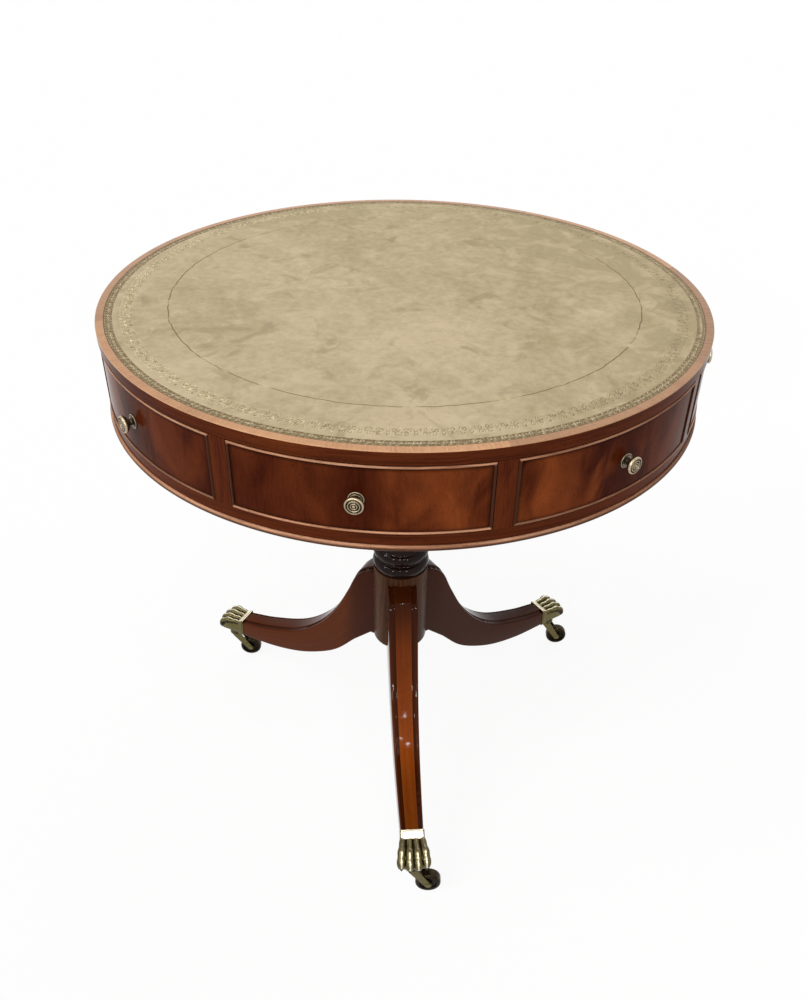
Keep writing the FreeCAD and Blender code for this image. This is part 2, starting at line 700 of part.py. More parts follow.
# Tie plate: a hub under the column and an arm bent along the underside of each leg
arm_tip = Vector(math.cos(slope), 0, -math.sin(slope))
arm_down = Vector(-math.sin(slope), 0, -math.cos(slope))
bend_top = upright(block_radius, block_bottom)
bend_under = bend_top + Vector(-math.tan(slope / 2), 0, -1) * tie_thickness
arm_end = bend_top + arm_tip * tie_arm_length
tie_face = face_of([upright(0, block_bottom), bend_top, arm_end, arm_end + arm_down * tie_thickness,
                    bend_under, upright(0, block_bottom - tie_thickness)])
tie_arm = tie_face.extrude(Vector(0, tie_width, 0))
tie_arm.translate(Vector(0, -tie_width / 2, 0))
tie_plate = rod(tie_hub_radius, block_bottom - tie_thickness, block_bottom)
tie_plate = tie_plate.fuse(around(tie_arm, leg_count, front_leg_angle)).removeSplitter()
tie_screw_place = bend_top + arm_tip * (tie_arm_length / 2) + arm_down * tie_thickness


def tie_screw(play):
    """A dome-headed screw through an arm of the tie plate, up into the leg."""
    screw = dome_screw(tie_screw_length, play)
    screw.rotate(origin, Vector(0, 1, 0), 180 + leg_under_slope)
    screw.translate(tie_screw_place)
    return screw


tie_screw_hole = tie_screw(glue_line)
nodes["leg_tie_plate"] = [tie_plate.cut(around(tie_screw_hole, leg_count, front_leg_angle))]
nodes["tie_plate_screws"] = around(tie_screw(0.0), leg_count, front_leg_angle)
leg = leg.cut(tie_screw_hole)

# Brass paw, drawn along +X: collar, spreading palm, toes with grooves between, boss for the castor
paw_bottom = leg_end_bottom - paw_lip
paw_sole = leg_end_bottom + paw_sole_rise
paw_boss_bottom = leg_end_bottom - paw_boss_drop
swivel_radius = leg_end_radius + swivel_reach
z_horn_top = paw_boss_bottom - running_gap
paw_top = leg_end_top + paw_lip
z_stem_top = paw_top - stem_cover
collar_half = leg_width_at_paw / 2 + paw_lip
collar_end = leg_end_radius + paw_collar_length
toe_tip = leg_end_radius + paw_toe_reach
toes_half = paw_toe_width * paw_toe_count / 2
knuckle_top = paw_top - paw_knuckle_drop
toe_middle = (knuckle_top + paw_sole) / 2
toe_rise = (knuckle_top - paw_sole) / 2
toe_ball = toe_tip - toe_rise


def paw_section(x, half, z0, z1):
    """A rectangle across the paw."""
    return Part.makePolygon([Vector(x, -half, z0), Vector(x, half, z0), Vector(x, half, z1),
                             Vector(x, -half, z1), Vector(x, -half, z0)])


def groove_section(x, y, z_surface, depth):
    """A V across the paw, whose point lies its depth under the surface."""
    point = Vector(x, y, z_surface - depth)
    return Part.makePolygon([point, Vector(x, y - depth, z_surface + depth),
                             Vector(x, y + depth, z_surface + depth), point])


paw_collar = box(leg_end_radius, collar_end, -collar_half, collar_half, paw_bottom, paw_top)
palm = Part.makeLoft([paw_section(collar_end, collar_half, paw_bottom, paw_top),
                      paw_section(toe_ball, toes_half, paw_sole, knuckle_top)], True, True)
toe_side = face_of_edges([
    line(upright(collar_end, paw_top), upright(toe_ball, knuckle_top)),
    arc(upright(toe_ball, knuckle_top), upright(toe_tip, toe_middle), upright(toe_ball, paw_sole)),
    line(upright(toe_ball, paw_sole), upright(collar_end, paw_bottom)),
    line(upright(collar_end, paw_bottom), upright(collar_end, paw_top))])
toe_slab = toe_side.extrude(Vector(0, paw_toe_width, 0))
toes = []
grooves = []
for step in range(paw_toe_count):
    middle = (step + 0.5) * paw_toe_width - toes_half
    outer_toe = step in (0, paw_toe_count - 1)
    tip_centre = toe_tip - paw_toe_width / 2 - (paw_outer_toe_setback if outer_toe else 0.0)
    slab = toe_slab.copy()
    slab.translate(Vector(0, middle - paw_toe_width / 2, 0))
    plan = box(toe_ball, tip_centre, middle - paw_toe_width / 2, middle + paw_toe_width / 2, 0, table_height)
    plan = plan.fuse(rod(paw_toe_width / 2, 0, table_height, tip_centre, middle))
    toes.append(slab.common(plan))
    if step:
        seam = middle - paw_toe_width / 2
        spread = seam * collar_half / toes_half
        groove = Part.makeLoft([
            groove_section(collar_end, spread, paw_top, paw_groove_start),
            groove_section(toe_tip, seam, knuckle_top, paw_groove_depth)], True, True)
        grooves.append(groove)
boss = rod(paw_boss_radius, paw_boss_bottom, toe_middle, swivel_radius)
socket = box(leg_end_radius, leg_end_radius + socket_depth, -tenon_half - glue_line, tenon_half + glue_line,
             z_tenon_bottom - glue_line, z_tenon_top + glue_line)
stem_hole = rod(stem_radius + running_gap, paw_boss_bottom, z_stem_top + running_gap, swivel_radius)
paw = paw_collar.fuse([palm, boss] + toes).removeSplitter().cut(grooves + [socket, stem_hole])

# Castor, drawn with its swivel on the Z axis and its wheel trailing towards +X
z_crown = z_horn_top - horn_crown_height
cheek_inner = wheel_width / 2 + horn_side_gap
cheek_outer = cheek_inner + horn_cheek
sideways = Vector(0, 1, 0)
eye_place = Vector(castor_trail, 0, wheel_radius)


def across(radius, half_length):
    """A cylinder on the wheel's axle."""
    return Part.makeCylinder(radius, 2 * half_length, eye_place - sideways * half_length, sideways)


horn_crown = rod(horn_crown_radius, z_crown, z_horn_top)
horn_crown = horn_crown.common(box(-horn_crown_radius, horn_crown_radius, -cheek_outer, cheek_outer,
                                   z_crown, z_horn_top))
arm_half = horn_crown_radius / 2
arm_side = Vector(z_crown - wheel_radius, 0, castor_trail).normalize() * horn_eye_radius
arm_face = face_of([Vector(-arm_half, 0, z_crown), Vector(arm_half, 0, z_crown),
                    eye_place + arm_side, eye_place - arm_side])
cheek = arm_face.extrude(sideways * horn_cheek)
cheek = cheek.fuse(Part.makeCylinder(horn_eye_radius, horn_cheek, eye_place, sideways)).removeSplitter()
cheek.translate(sideways * cheek_inner)
cheeks = [cheek, cheek.mirror(origin, sideways)]
stem = rod(stem_radius, z_crown, z_stem_top)
horn = horn_crown.fuse(cheeks + [stem]).removeSplitter().cut(across(axle_radius + glue_line, cheek_outer))
axle = across(axle_radius, cheek_outer + axle_head_height)
for side in (-1, 1):
    head_start = eye_place + sideways * side * cheek_outer
    axle = axle.fuse(Part.makeCylinder(axle_head_radius, axle_head_height, head_start, sideways * side))
axle = axle.removeSplitter()

# Wheel: a rounded tread with dished faces, turned about the axle
half = wheel_width / 2
bore = axle_radius + running_gap
edge = wheel_edge_round * (1 - math.sqrt(0.5))
dish = half - wheel_dish_depth


def wheel_half_outline(side):
    """One half of the wheel's section, from its bore to the middle of its tread."""
    return [Vector(bore, 0, side * half), Vector(wheel_dish_inner, 0, side * half),
            Vector(wheel_dish_inner, 0, side * dish), Vector(wheel_dish_outer, 0, side * dish),
            Vector(wheel_dish_outer, 0, side * half), Vector(wheel_radius - wheel_edge_round, 0, side * half)]


def tread_corner(side):
    """The rounded corner between a face of the wheel and its tread."""
    return [Vector(wheel_radius - wheel_edge_round, 0, side * half),
            Vector(wheel_radius - edge, 0, side * (half - edge)),
            Vector(wheel_radius, 0, side * (half - wheel_edge_round))]


near = wheel_half_outline(-1)
far = list(reversed(wheel_half_outline(1)))
section = [line(a, b) for a, b in zip(near, near[1:])]
section.append(arc(*tread_corner(-1)))
section.append(line(tread_corner(-1)[-1], tread_corner(1)[-1]))
section.append(arc(*reversed(tread_corner(1))))
section += [line(a, b) for a, b in zip(far, far[1:])]
section.append(line(far[-1], near[0]))
wheel = lathe(face_of_edges(section))
wheel.rotate(origin, Vector(1, 0, 0), 90)
wheel.translate(eye_place)

# Legs, paws and castors in their places
for step in range(leg_count):
    number = step + 1
    leg_angle = front_leg_angle + step * leg_pitch
    nodes["leg_%d" % number] = [turned(leg, leg_angle)]
    nodes["paw_%d" % number] = [turned(paw, leg_angle)]
    bearing = math.radians(leg_angle)
    swivel = Vector(math.cos(bearing), math.sin(bearing), 0) * swivel_radius
    for name, pieces in (("castor_horn_%d", [horn, axle]), ("castor_wheel_%d", [wheel])):
        placed = []
        for piece in pieces:
            copy = turned(piece, castor_trail_angle)
            copy.translate(swivel)
            placed.append(copy)
        nodes[name % number] = placed

for name, solids in nodes.items():
    for solid in solids:
        if not solid.isValid() or solid.Volume <= 0:
            print("bad solid in", name)
    Part.makeCompound(solids).exportStep("parts/%s.step" % name)
print(len(nodes), "nodes")
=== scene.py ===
import math

import bmesh
import bpy
import numpy as np
from mathutils import Matrix, Vector


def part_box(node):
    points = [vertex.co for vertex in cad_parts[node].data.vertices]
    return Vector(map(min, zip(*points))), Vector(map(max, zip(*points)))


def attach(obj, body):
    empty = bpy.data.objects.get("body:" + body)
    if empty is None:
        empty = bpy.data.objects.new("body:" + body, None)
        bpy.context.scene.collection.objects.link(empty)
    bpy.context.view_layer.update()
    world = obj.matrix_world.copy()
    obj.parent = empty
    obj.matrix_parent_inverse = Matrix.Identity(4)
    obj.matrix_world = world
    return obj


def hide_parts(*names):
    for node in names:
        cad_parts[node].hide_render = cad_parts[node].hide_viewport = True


# Revolving drum table, from the pedestal up. Metres, +Z up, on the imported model's own frame. The turns of
# pieces about +Z are in degrees.
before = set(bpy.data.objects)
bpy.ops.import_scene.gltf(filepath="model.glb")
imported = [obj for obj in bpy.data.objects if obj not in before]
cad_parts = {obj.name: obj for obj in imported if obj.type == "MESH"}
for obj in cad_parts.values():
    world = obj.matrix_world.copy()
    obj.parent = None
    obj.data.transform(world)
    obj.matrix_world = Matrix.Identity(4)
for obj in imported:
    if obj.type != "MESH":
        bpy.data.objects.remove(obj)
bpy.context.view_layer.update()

# Turned column: one piece of mahogany from the lathe, stained dark and French polished. A plain block takes
# the dovetails of the legs, two rings stand over it, and a vase rises to a collar under the bearing plate.
mm = 0.001
column_low, column_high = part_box("column")
block_radius = 41 * mm
block_top = 329.5 * mm
block_end_round = 6 * mm
ring_reach = 4.5 * mm
ring_height = 18 * mm
ring_neck_radius = 37.5 * mm
ring_neck_height = 4 * mm
ring_neck_hollow = 1.2 * mm
vase_foot_radius = 30 * mm
vase_swell = 13 * mm
vase_neck_radius = 26 * mm
# The vase from the side, as shares of its height and of its swell
vase_shares = [(0.1, 0.0), (0.24, 0.27), (0.44, 1.0), (0.66, 0.62), (0.86, -0.05)]
collar_radius = 46 * mm
collar_height = 16 * mm
collar_hollow = 1.8 * mm
polish_ripple = 0.36 * mm
# Each wave of the polish: its count round the column, its strength and its share of the lean
ripple_waves = [(15, 1.0, 1.0), (26, 0.7, -1.6)]
ripple_lean = 2.2
ripple_climb = 3.4 * mm
quarter_rise = 1 - math.sqrt(0.5)


def linear(code):
    """The linear red, green and blue of an sRGB hex colour, with full alpha."""
    share = np.array([int(code[place:place + 2], 16) for place in (1, 3, 5)]) / 255
    share = np.where(share <= 0.04045, share / 12.92, ((share + 0.055) / 1.055) ** 2.4)
    return (*share.tolist(), 1.0)


def add(tree, kind, sockets=None, **settings):
    """One shader node. Settings are its properties; sockets gives its inputs a value or a node to link."""
    node = tree.nodes.new("ShaderNode" + kind)
    for name, value in settings.items():
        setattr(node, name, value)
    shown = [socket for socket in node.inputs if socket.enabled]
    for key, value in (sockets or {}).items():
        socket = shown[key] if isinstance(key, int) else next(each for each in shown if each.name == key)
        if isinstance(value, bpy.types.Node):
            value = next(each for each in value.outputs if each.enabled)
        if isinstance(value, bpy.types.NodeSocket):
            tree.links.new(value, socket)
        else:
            socket.default_value = value
    return node


def new_finish(name):
    """An empty material, with its node tree and its surface shader."""
    finish = bpy.data.materials.new(name)
    finish.use_nodes = True
    return finish, finish.node_tree, finish.node_tree.nodes["Principled BSDF"]


def coat(tree, gloss, colour, sheen, relief):
    """Links the colour, the roughness and the relief of a material to its surface shader."""
    for node, name in ((colour, "Base Color"), (sheen, "Roughness"), (relief, "Normal")):
        tree.links.new(next(each for each in node.outputs if each.enabled), gloss.inputs[name])


def straight_grain(order):
    """Distances across, along and through straight grain, from the letters of the axes they follow."""
    def place(tree):
        split = add(tree, "SeparateXYZ", {0: add(tree, "TexCoord").outputs["Object"]})
        return add(tree, "CombineXYZ", {step: split.outputs[axis] for step, axis in enumerate(order)})
    return place


def wood(name, grain, tones, figure, streak, pore, polish, glow=0.62, spread=None, rubbed=False):
    """A finished wood. grain gives the distances across, along and through the grain; tones are the dark and
    middle colours of the grain lines and the light colour of the figure; figure, streak and pore are the
    width and length of the broad patches, of the grain lines and of the pores; polish is the roughness and
    the strength of the reflection; glow is how far the figure shows, and spread makes it a share that changes
    from place to place. When the colour follows the wear of the piece, it darkens where the wear is low; that
    wear holds old polish and also painted shade and painted highlights. Pores are drawn a few times wider
    than real ones, which are too fine to show."""
    finish, tree, gloss = new_finish(name)
    place = grain(tree)
    dark, middle, light = (linear(tone) for tone in tones)
    sizes = [(1 / width, 1 / length, 1 / width) for width, length in (figure, streak, pore)]
    patch = add(tree, "VectorMath", {0: place, 1: sizes[0]}, operation="MULTIPLY")
    broad = add(tree, "TexNoise", {"Vector": patch, "Scale": 1.0, "Detail": 3.0, "Distortion": 0.6})
    half_patch = (figure[0] * 0.5,) * 3
    sway = add(tree, "VectorMath", {0: broad.outputs["Color"], 1: half_patch}, operation="MULTIPLY")
    bent = add(tree, "VectorMath", {0: place, 1: sway}, operation="ADD")
    lines_place = add(tree, "VectorMath", {0: bent, 1: sizes[1]}, operation="MULTIPLY")
    lines = add(tree, "TexNoise", {"Vector": lines_place, "Scale": 1.0, "Detail": 4.0})
    pores_place = add(tree, "VectorMath", {0: bent, 1: sizes[2]}, operation="MULTIPLY")
    pores = add(tree, "TexNoise", {"Vector": pores_place, "Scale": 1.0, "Detail": 1.0})
    ribbon = add(tree, "MapRange", {"Value": lines, "From Min": 0.34, "From Max": 0.66})
    ground = add(tree, "Mix", {"Factor": ribbon, "A": dark, "B": middle}, data_type="RGBA")
    flame = add(tree, "MapRange", {"Value": broad, "From Min": 0.32, "From Max": 0.74, "To Max": glow})
    if spread:
        flame = add(tree, "Math", {0: flame, 1: spread(tree)}, operation="MULTIPLY")
    figured = add(tree, "Mix", {"Factor": flame, "A": ground, "B": light}, data_type="RGBA")
    specks = add(tree, "MapRange", {"Value": pores, "From Min": 0.6, "From Max": 0.74, "To Max": 0.55})
    shade = tuple(0.2 * part for part in dark[:3]) + (1.0,)
    coloured = add(tree, "Mix", {"Factor": specks, "A": figured, "B": shade}, data_type="RGBA")
    sheen = add(tree, "MapRange", {"Value": lines, "From Min": 0.3, "From Max": 0.7,
                                   "To Min": polish[0] * 0.8, "To Max": polish[0] * 1.25})
    dents = add(tree, "Bump", {"Strength": 0.05, "Distance": 0.1 * mm, "Height": pores}, invert=True)
    # Painted shade and highlight: where the piece's wear is low the colour goes towards the dark shade,
    # partly old polish and partly painted light
    if rubbed:
        worn = add(tree, "Attribute", attribute_name="wear").outputs["Fac"]
        coloured = add(tree, "Mix", {"Factor": worn, "A": shade, "B": coloured}, data_type="RGBA")
    coat(tree, gloss, coloured, sheen, dents)
    gloss.inputs["Specular IOR Level"].default_value = polish[1]
    return finish


def bow(start, end, rise, count=9):
    """A circular arc from start to end. Its middle stands off their line by rise, to the right of the way."""
    start, end = np.asarray(start, float), np.asarray(end, float)
    half = (end - start) / 2
    length = np.hypot(*half)
    turn = 2 * math.atan2(rise, length)
    radius = length / math.sin(turn)
    angle = np.linspace(-turn, turn, count)[:, None]
    aside = np.array([half[1], -half[0]]) / length
    along = half / length
    onward = along * radius * np.sin(angle)
    return (start + end) / 2 + onward + aside * radius * (np.cos(angle) - math.cos(turn))


def through(points, count):
    """A smooth line through the points: between two of them a cubic that leaves each one along the line
    joining its neighbours. Past the ends the first and last steps are repeated."""
    points = np.asarray(points, float)
    padded = np.concatenate([2 * points[:1] - points[1:2], points, 2 * points[-1:] - points[-2:-1]])
    place = np.linspace(0, len(points) - 1, count)
    step = np.minimum(place.astype(int), len(points) - 2)
    t = (place - step)[:, None]
    a, b, c, d = (padded[step + k] for k in range(4))
    return b + 0.5 * t * (c - a + t * (2 * a - 5 * b + 4 * c - d + t * (3 * (b - c) + d - a)))


def lathe(profile, turns=96):
    """A profile of radius and height carried round the Z axis: x = r cos a, y = r sin a, z = height."""
    around = np.linspace(0, 2 * math.pi, turns + 1)
    radius, height = np.asarray(profile, float).T[:, :, None]
    return np.stack([radius * np.cos(around), radius * np.sin(around), height + 0 * around], -1)


def rippled(grid, depth):
    """A turning with its surface lowered by a sum of waves round it, which lean to and fro as they climb.
    They are drawn deeper than the waves that a polishing pad leaves, so that they show in the sparks."""
    angle = np.arctan2(grid[..., 1], grid[..., 0])
    lean = ripple_lean * np.sin(grid[..., 2] / ripple_climb)
    radius = np.hypot(grid[..., 0], grid[..., 1])
    wave = sum(strength * np.sin(count * angle + share * lean) for count, strength, share in ripple_waves)
    strongest = sum(strength for count, strength, share in ripple_waves)
    grid[..., :2] *= (1 - depth * (1 + wave / strongest) / 2 / np.maximum(radius, depth))[..., None]
    return grid


def solid(name, grids, finish, strip=None, wear=None, crisp=35):
    """An object from grids of points in rows and columns. Neighbours span the faces, points that meet are
    merged, which closes seams and poles, and the faces are turned outwards. strip holds a uv in metres and
    wear a number from 0 to 1 for every point. Edges that turn by more than crisp degrees stay sharp."""
    mesh = bpy.data.meshes.new(name)
    points = np.concatenate([grid.reshape(-1, 3) for grid in grids])
    faces = []
    start = 0
    for grid in grids:
        rows, columns = grid.shape[:2]
        corner = start + np.arange((rows - 1) * columns).reshape(-1, columns)[:, :-1].ravel()
        faces.append(np.stack([corner, corner + 1, corner + columns + 1, corner + columns], 1))
        start += rows * columns
    faces = np.concatenate(faces)
    mesh.from_pydata(points.tolist(), [], faces.tolist())
    if strip is not None:
        flat = np.concatenate([part.reshape(-1, 2) for part in strip])
        corners = flat[faces.ravel()].ravel().astype(np.float32)
        mesh.uv_layers.new(name="strip").data.foreach_set("uv", corners)
    if wear is not None:
        flat = np.concatenate([np.asarray(part, np.float32).ravel() for part in wear])
        mesh.attributes.new("wear", "FLOAT", "POINT").data.foreach_set("value", flat)
    shape = bmesh.new()
    shape.from_mesh(mesh)
    bmesh.ops.remove_doubles(shape, verts=shape.verts, dist=0.001 * mm)
    bmesh.ops.recalc_face_normals(shape, faces=shape.faces)
    shape.to_mesh(mesh)
    shape.free()
    mesh.polygons.foreach_set("use_smooth", np.ones(len(mesh.polygons), bool))
    mesh.set_sharp_from_angle(angle=math.radians(crisp))
    mesh.materials.append(finish)
    piece = bpy.data.objects.new(name, mesh)
    bpy.context.scene.collection.objects.link(piece)
    return piece


def dress(piece, body, node):
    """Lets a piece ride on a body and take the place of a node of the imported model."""
    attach(piece, body)
    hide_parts(node)


ring_1_top = block_top + ring_height
ring_2_bottom = ring_1_top + ring_neck_height
ring_2_top = ring_2_bottom + ring_height
collar_bottom = column_high.z - collar_height
collar_edge = column_high.z - collar_height / 3
vase_points = [(vase_foot_radius + vase_swell * b, ring_2_top + (collar_bottom - ring_2_top) * a)
               for a, b in vase_shares]
block_profile = np.concatenate([
    [(0, column_low.z)],
    bow((block_radius - block_end_round, column_low.z), (block_radius, column_low.z + block_end_round),
        block_end_round * quarter_rise),
    [(block_radius, block_top), (0, block_top)]])
column_profile = np.concatenate([
    [(0, block_top), (ring_neck_radius, block_top)],
    bow((ring_neck_radius, block_top), (ring_neck_radius, ring_1_top), ring_reach, 17),
    bow((ring_neck_radius, ring_1_top), (ring_neck_radius, ring_2_bottom), -ring_neck_hollow),
    bow((ring_neck_radius, ring_2_bottom), (ring_neck_radius, ring_2_top), ring_reach, 17),
    through([(ring_neck_radius, ring_2_top)] + vase_points + [(vase_neck_radius, collar_bottom)], 70),
    bow((vase_neck_radius, collar_bottom), (collar_radius, collar_edge), collar_hollow),
    [(collar_radius, column_high.z), (0, column_high.z)]])
# Dark mahogany: fine straight lines up the column, under a deep gloss that shows every lamp as a hard spark
column_mahogany = wood("french_polished_mahogany_turned", straight_grain("XZY"),
                       tones=("#120603", "#1c0a05", "#281007"), figure=(60 * mm, 260 * mm),
                       streak=(3 * mm, 90 * mm), pore=(0.5 * mm, 9 * mm), polish=(0.05, 0.12))
# The same wood on the block, where hands and wax have taken the gloss down to a brown satin
block_mahogany = wood("waxed_mahogany_turned", straight_grain("XZY"),
                      tones=("#2e170b", "#482a17", "#5e3a20"), figure=(60 * mm, 260 * mm),
                      streak=(3 * mm, 90 * mm), pore=(0.5 * mm, 9 * mm), polish=(0.25, 0.05))
block = solid("column_block_turning", [lathe(block_profile)], block_mahogany)
column = solid("column_turning", [rippled(lathe(column_profile, 240), polish_ripple)], column_mahogany)
for turning in (block, column):
    dress(turning, "pedestal", "column")

# Bearing plate: a round of mahogany screwed flat on the head of the column. Its lower edge is rounded over,
# and the drum turns on the washer that lies on it.
plate_low, plate_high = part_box("bearing_plate")
plate_edge_round = 6 * mm
plate_profile = np.concatenate([
    [(0, plate_low.z)],
    bow((plate_high.x - plate_edge_round, plate_low.z), (plate_high.x, plate_low.z + plate_edge_round),
        plate_edge_round * quarter_rise),
    [(plate_high.x, plate_high.z), (0, plate_high.z)]])
plate = solid("bearing_plate_turning", [lathe(plate_profile, 160)], column_mahogany)
dress(plate, "pedestal", "bearing_plate")

# Sabre legs: sawn from thick mahogany and dovetailed into the column. A flat band is left standing along the
# upper face between rounded shoulders, and the polish is brightest along its edges.
leg_count = 3
front_leg_angle = -79.0
leg_pitch = 360 / leg_count
leg_end_radius = 298 * mm
leg_end_top = 96 * mm
leg_end_bottom = 64 * mm
leg_top = 316.5 * mm
leg_root = 24 * mm
leg_half_at_column = 22.5 * mm
leg_half_at_paw = 16 * mm
band_share = 0.56
band_height = 2.5 * mm
band_round = 1.1 * mm
shoulder_round = 3 * mm
shoulder_hollow = 1 * mm
under_round = 3 * mm
under_slope = math.radians(44)
under_straight = 42 * mm
# How light the band is painted at distances along the leg in millimetres, near black at the knee as painted
# shade and the reflection of the drum's underside, then a painted highlight down the band; and the most for
# each leg, painted light that is full on the front leg and low on the two behind
band_light_along = [(0, 0.02), (25, 0.02), (57, 0.11), (108, 0.6), (203, 0.93), (228, 1), (250, 0.93), (282, 0.63),
             (340, 0.55)]
most_rubbed = [1, 0.04, 0.23]
# The flanks of the leg are painted darker than the band, as shade
flank_painted_shade = 0.4
leg_ripple = 0.07 * mm
leg_ripple_step = 1.7 * mm
leg_ripple_sway = 2.5
leg_ripple_width = 2.6 * mm
# The upper and the under edge from the side, as shares of their reach and of their fall
upper_shares = [(0, 1), (0.093, 0.914), (0.162, 0.733), (0.262, 0.498), (0.397, 0.29), (0.572, 0.135),
                (0.808, 0.041), (1, 0)]
under_shares = [(0, 1), (0.15, 0.6), (0.31, 0.344), (0.51, 0.14), (0.75, 0.025), (1, 0)]


def evenly(points, count):
    """The same line with its points at equal distances along it."""
    steps = np.concatenate([[0], np.cumsum(np.hypot(*np.diff(points, axis=0).T))])
    wanted = np.linspace(0, steps[-1], count)
    return np.stack([np.interp(wanted, steps, points[:, 0]), np.interp(wanted, steps, points[:, 1])], 1)


def capped(points):
    """A run of sections closed at both ends with a point in the middle of each end."""
    ends = [np.broadcast_to(row[:-1].mean(0), row.shape)[None] for row in (points[0], points[-1])]
    return np.concatenate([ends[0], points, ends[1]])


def turned(points, degrees, place=(0, 0, 0)):
    """Points turned about the Z axis and then carried to a place."""
    angle = math.radians(degrees)
    ahead, aside = math.cos(angle), math.sin(angle)
    turn = np.array([[ahead, aside, 0], [-aside, ahead, 0], [0, 0, 1]])
    return points @ turn + np.asarray(place)


def leg_section():
    """Half of the leg's section from the middle of its underside to the middle of its band, as shares of the
    half width, of the band's half width and of the height, with distances added across and up, and the wear,
    which paints shade on the flank, the shoulder and the hollow beside the band and a highlight on the band.
    The shoulder between the side and the band is hollowed a little."""
    quarter = np.linspace(0, math.pi / 2, 7)
    one, none = np.ones(7), np.zeros(7)
    lower = np.stack([one, none, -under_round * (1 - np.sin(quarter)), none,
                      under_round * (1 - np.cos(quarter)), flank_painted_shade * one], 1)
    upper = np.stack([one, none, -shoulder_round * (1 - np.cos(quarter)), one,
                      -band_height - shoulder_round * (1 - np.sin(quarter)), 0.5 - 0.3 * np.sin(quarter)], 1)
    band = np.stack([none, one, -band_round * (1 - np.cos(quarter)), one, -band_round * (1 - np.sin(quarter)),
                     0.1 + 0.9 * np.sin(quarter)], 1)
    cove = [(0.5, 0.5, 0, 1, -band_height - shoulder_hollow, 0.1), (0, 1, band_round / 3, 1, -band_height, 0)]
    return np.concatenate([[(0, 0, 0, 0, 0, flank_painted_shade)], lower, upper, cove, band, [(0, 0, 0, 1, 0, 1)]])


def leg_surface(rows=300):
    """The leg along +X. Each row joins a point of the underside to one of the upper edge and carries the
    section between them; its width follows the distance from the column. Waves left by hand polishing run
    across the upper face. With the points come a uv, the way round the section and along the leg, and the
    wear, which paints the knee dark as shade, grows from the knee down as a painted highlight on the band and
    falls again towards the paw."""
    reach = leg_end_radius - block_radius
    upper = [(block_radius + reach * a, leg_end_top + (leg_top - leg_end_top) * b) for a, b in upper_shares]
    bend = np.array([block_radius + under_straight * math.cos(under_slope),
                     column_low.z - under_straight * math.sin(under_slope)])
    under = [(bend[0] + (leg_end_radius - bend[0]) * a, leg_end_bottom + (bend[1] - leg_end_bottom) * b)
             for a, b in under_shares]
    straight = np.linspace((block_radius, column_low.z), bend, 12)[:-1]
    upper = evenly(through(upper, 400), rows)
    under = evenly(np.concatenate([straight, through(under, 300)]), rows)
    upper = np.concatenate([[(leg_root, leg_top)], upper])
    under = np.concatenate([[(leg_root, column_low.z)], under])
    half = leg_section()
    mirrored = half[::-1][1:] * (-1, -1, -1, 1, 1, 1)
    width_share, band_shares, aside, height_share, rise, worn = np.concatenate([half, mirrored]).T
    height = np.hypot(*(upper - under).T)[:, None]
    up = height_share * height + rise
    side_view = under[:, None] + ((upper - under) / height)[:, None] * up[..., None]
    from_column = np.clip((side_view[..., 0] - block_radius) / reach, 0, 1)
    half_width = leg_half_at_column + (leg_half_at_paw - leg_half_at_column) * from_column
    sign = np.concatenate([np.ones(len(half)), -np.ones(len(mirrored))])
    across = (np.abs(width_share) + np.abs(band_shares) * band_share) * half_width * sign + aside
    points = np.stack([side_view[..., 0], across, side_view[..., 1]], -1)
    along = np.concatenate([[0], np.cumsum(np.hypot(*np.diff((upper + under) / 2, axis=0).T))])
    girth = np.concatenate([[0], np.cumsum(np.linalg.norm(np.diff(points[rows // 2], axis=0), axis=1))])
    strip = np.stack(np.broadcast_arrays(girth[None], along[:, None]), -1)
    swayed = leg_ripple_sway * np.sin(girth / leg_ripple_width)
    ripple = 1 + np.sin(along[:, None] / leg_ripple_step + swayed)
    points[..., 2] -= leg_ripple / 2 * ripple * (height_share == 1)
    distances, amounts = np.array(band_light_along).T
    wear = worn * np.interp(along, distances * mm, amounts)[:, None]
    ends = [np.concatenate([grid[:1], grid, grid[-1:]]) for grid in (strip, wear)]
    return capped(points), *ends


def strip_grain(tree):
    """Distances across and along grain that follows a piece's own strip."""
    return add(tree, "UVMap", uv_map="strip")


# Red-brown mahogany with the grain along the leg, glossy enough to mirror lamps as bright dashes. Its colour
# is painted nearly black beside the band and on the knee as shade, partly old polish, and a painted highlight
# lightens the band to orange, full on the front leg, which faces the light
leg_mahogany = wood("french_polished_mahogany_shaped", strip_grain,
                    tones=("#75330e", "#873c0f", "#9e5214"), figure=(12 * mm, 300 * mm),
                    streak=(3.4 * mm, 200 * mm), pore=(0.5 * mm, 8 * mm), polish=(0.06, 0.07),
                    rubbed=True)
leg_points, leg_strip, leg_wear_and_light = leg_surface()
leg_angles = [front_leg_angle + leg_pitch * step for step in range(leg_count)]
for number, angle in enumerate(leg_angles, 1):
    # Each leg's most light is painted light: full on the front leg, low on the two behind
    leg_light = np.minimum(leg_wear_and_light, most_rubbed[number - 1])
    leg = solid("leg_%d_shaped" % number, [turned(leg_points, angle)], leg_mahogany, strip=[leg_strip],
                wear=[leg_light])
    dress(leg, "pedestal", "leg_%d" % number)

# Tie plate: a three-armed iron strap under the column, screwed up into each leg, and the iron pins and screws
# of the pivot. They are forged and blackened, with a little rust where the scale has worn.
scale_size = 9 * mm
pit_size = 1.5 * mm
pit_depth = 0.2 * mm


def refinish(nodes, finish):
    """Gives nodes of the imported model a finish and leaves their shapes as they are."""
    for node in nodes:
        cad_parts[node].material_slots[0].material = finish


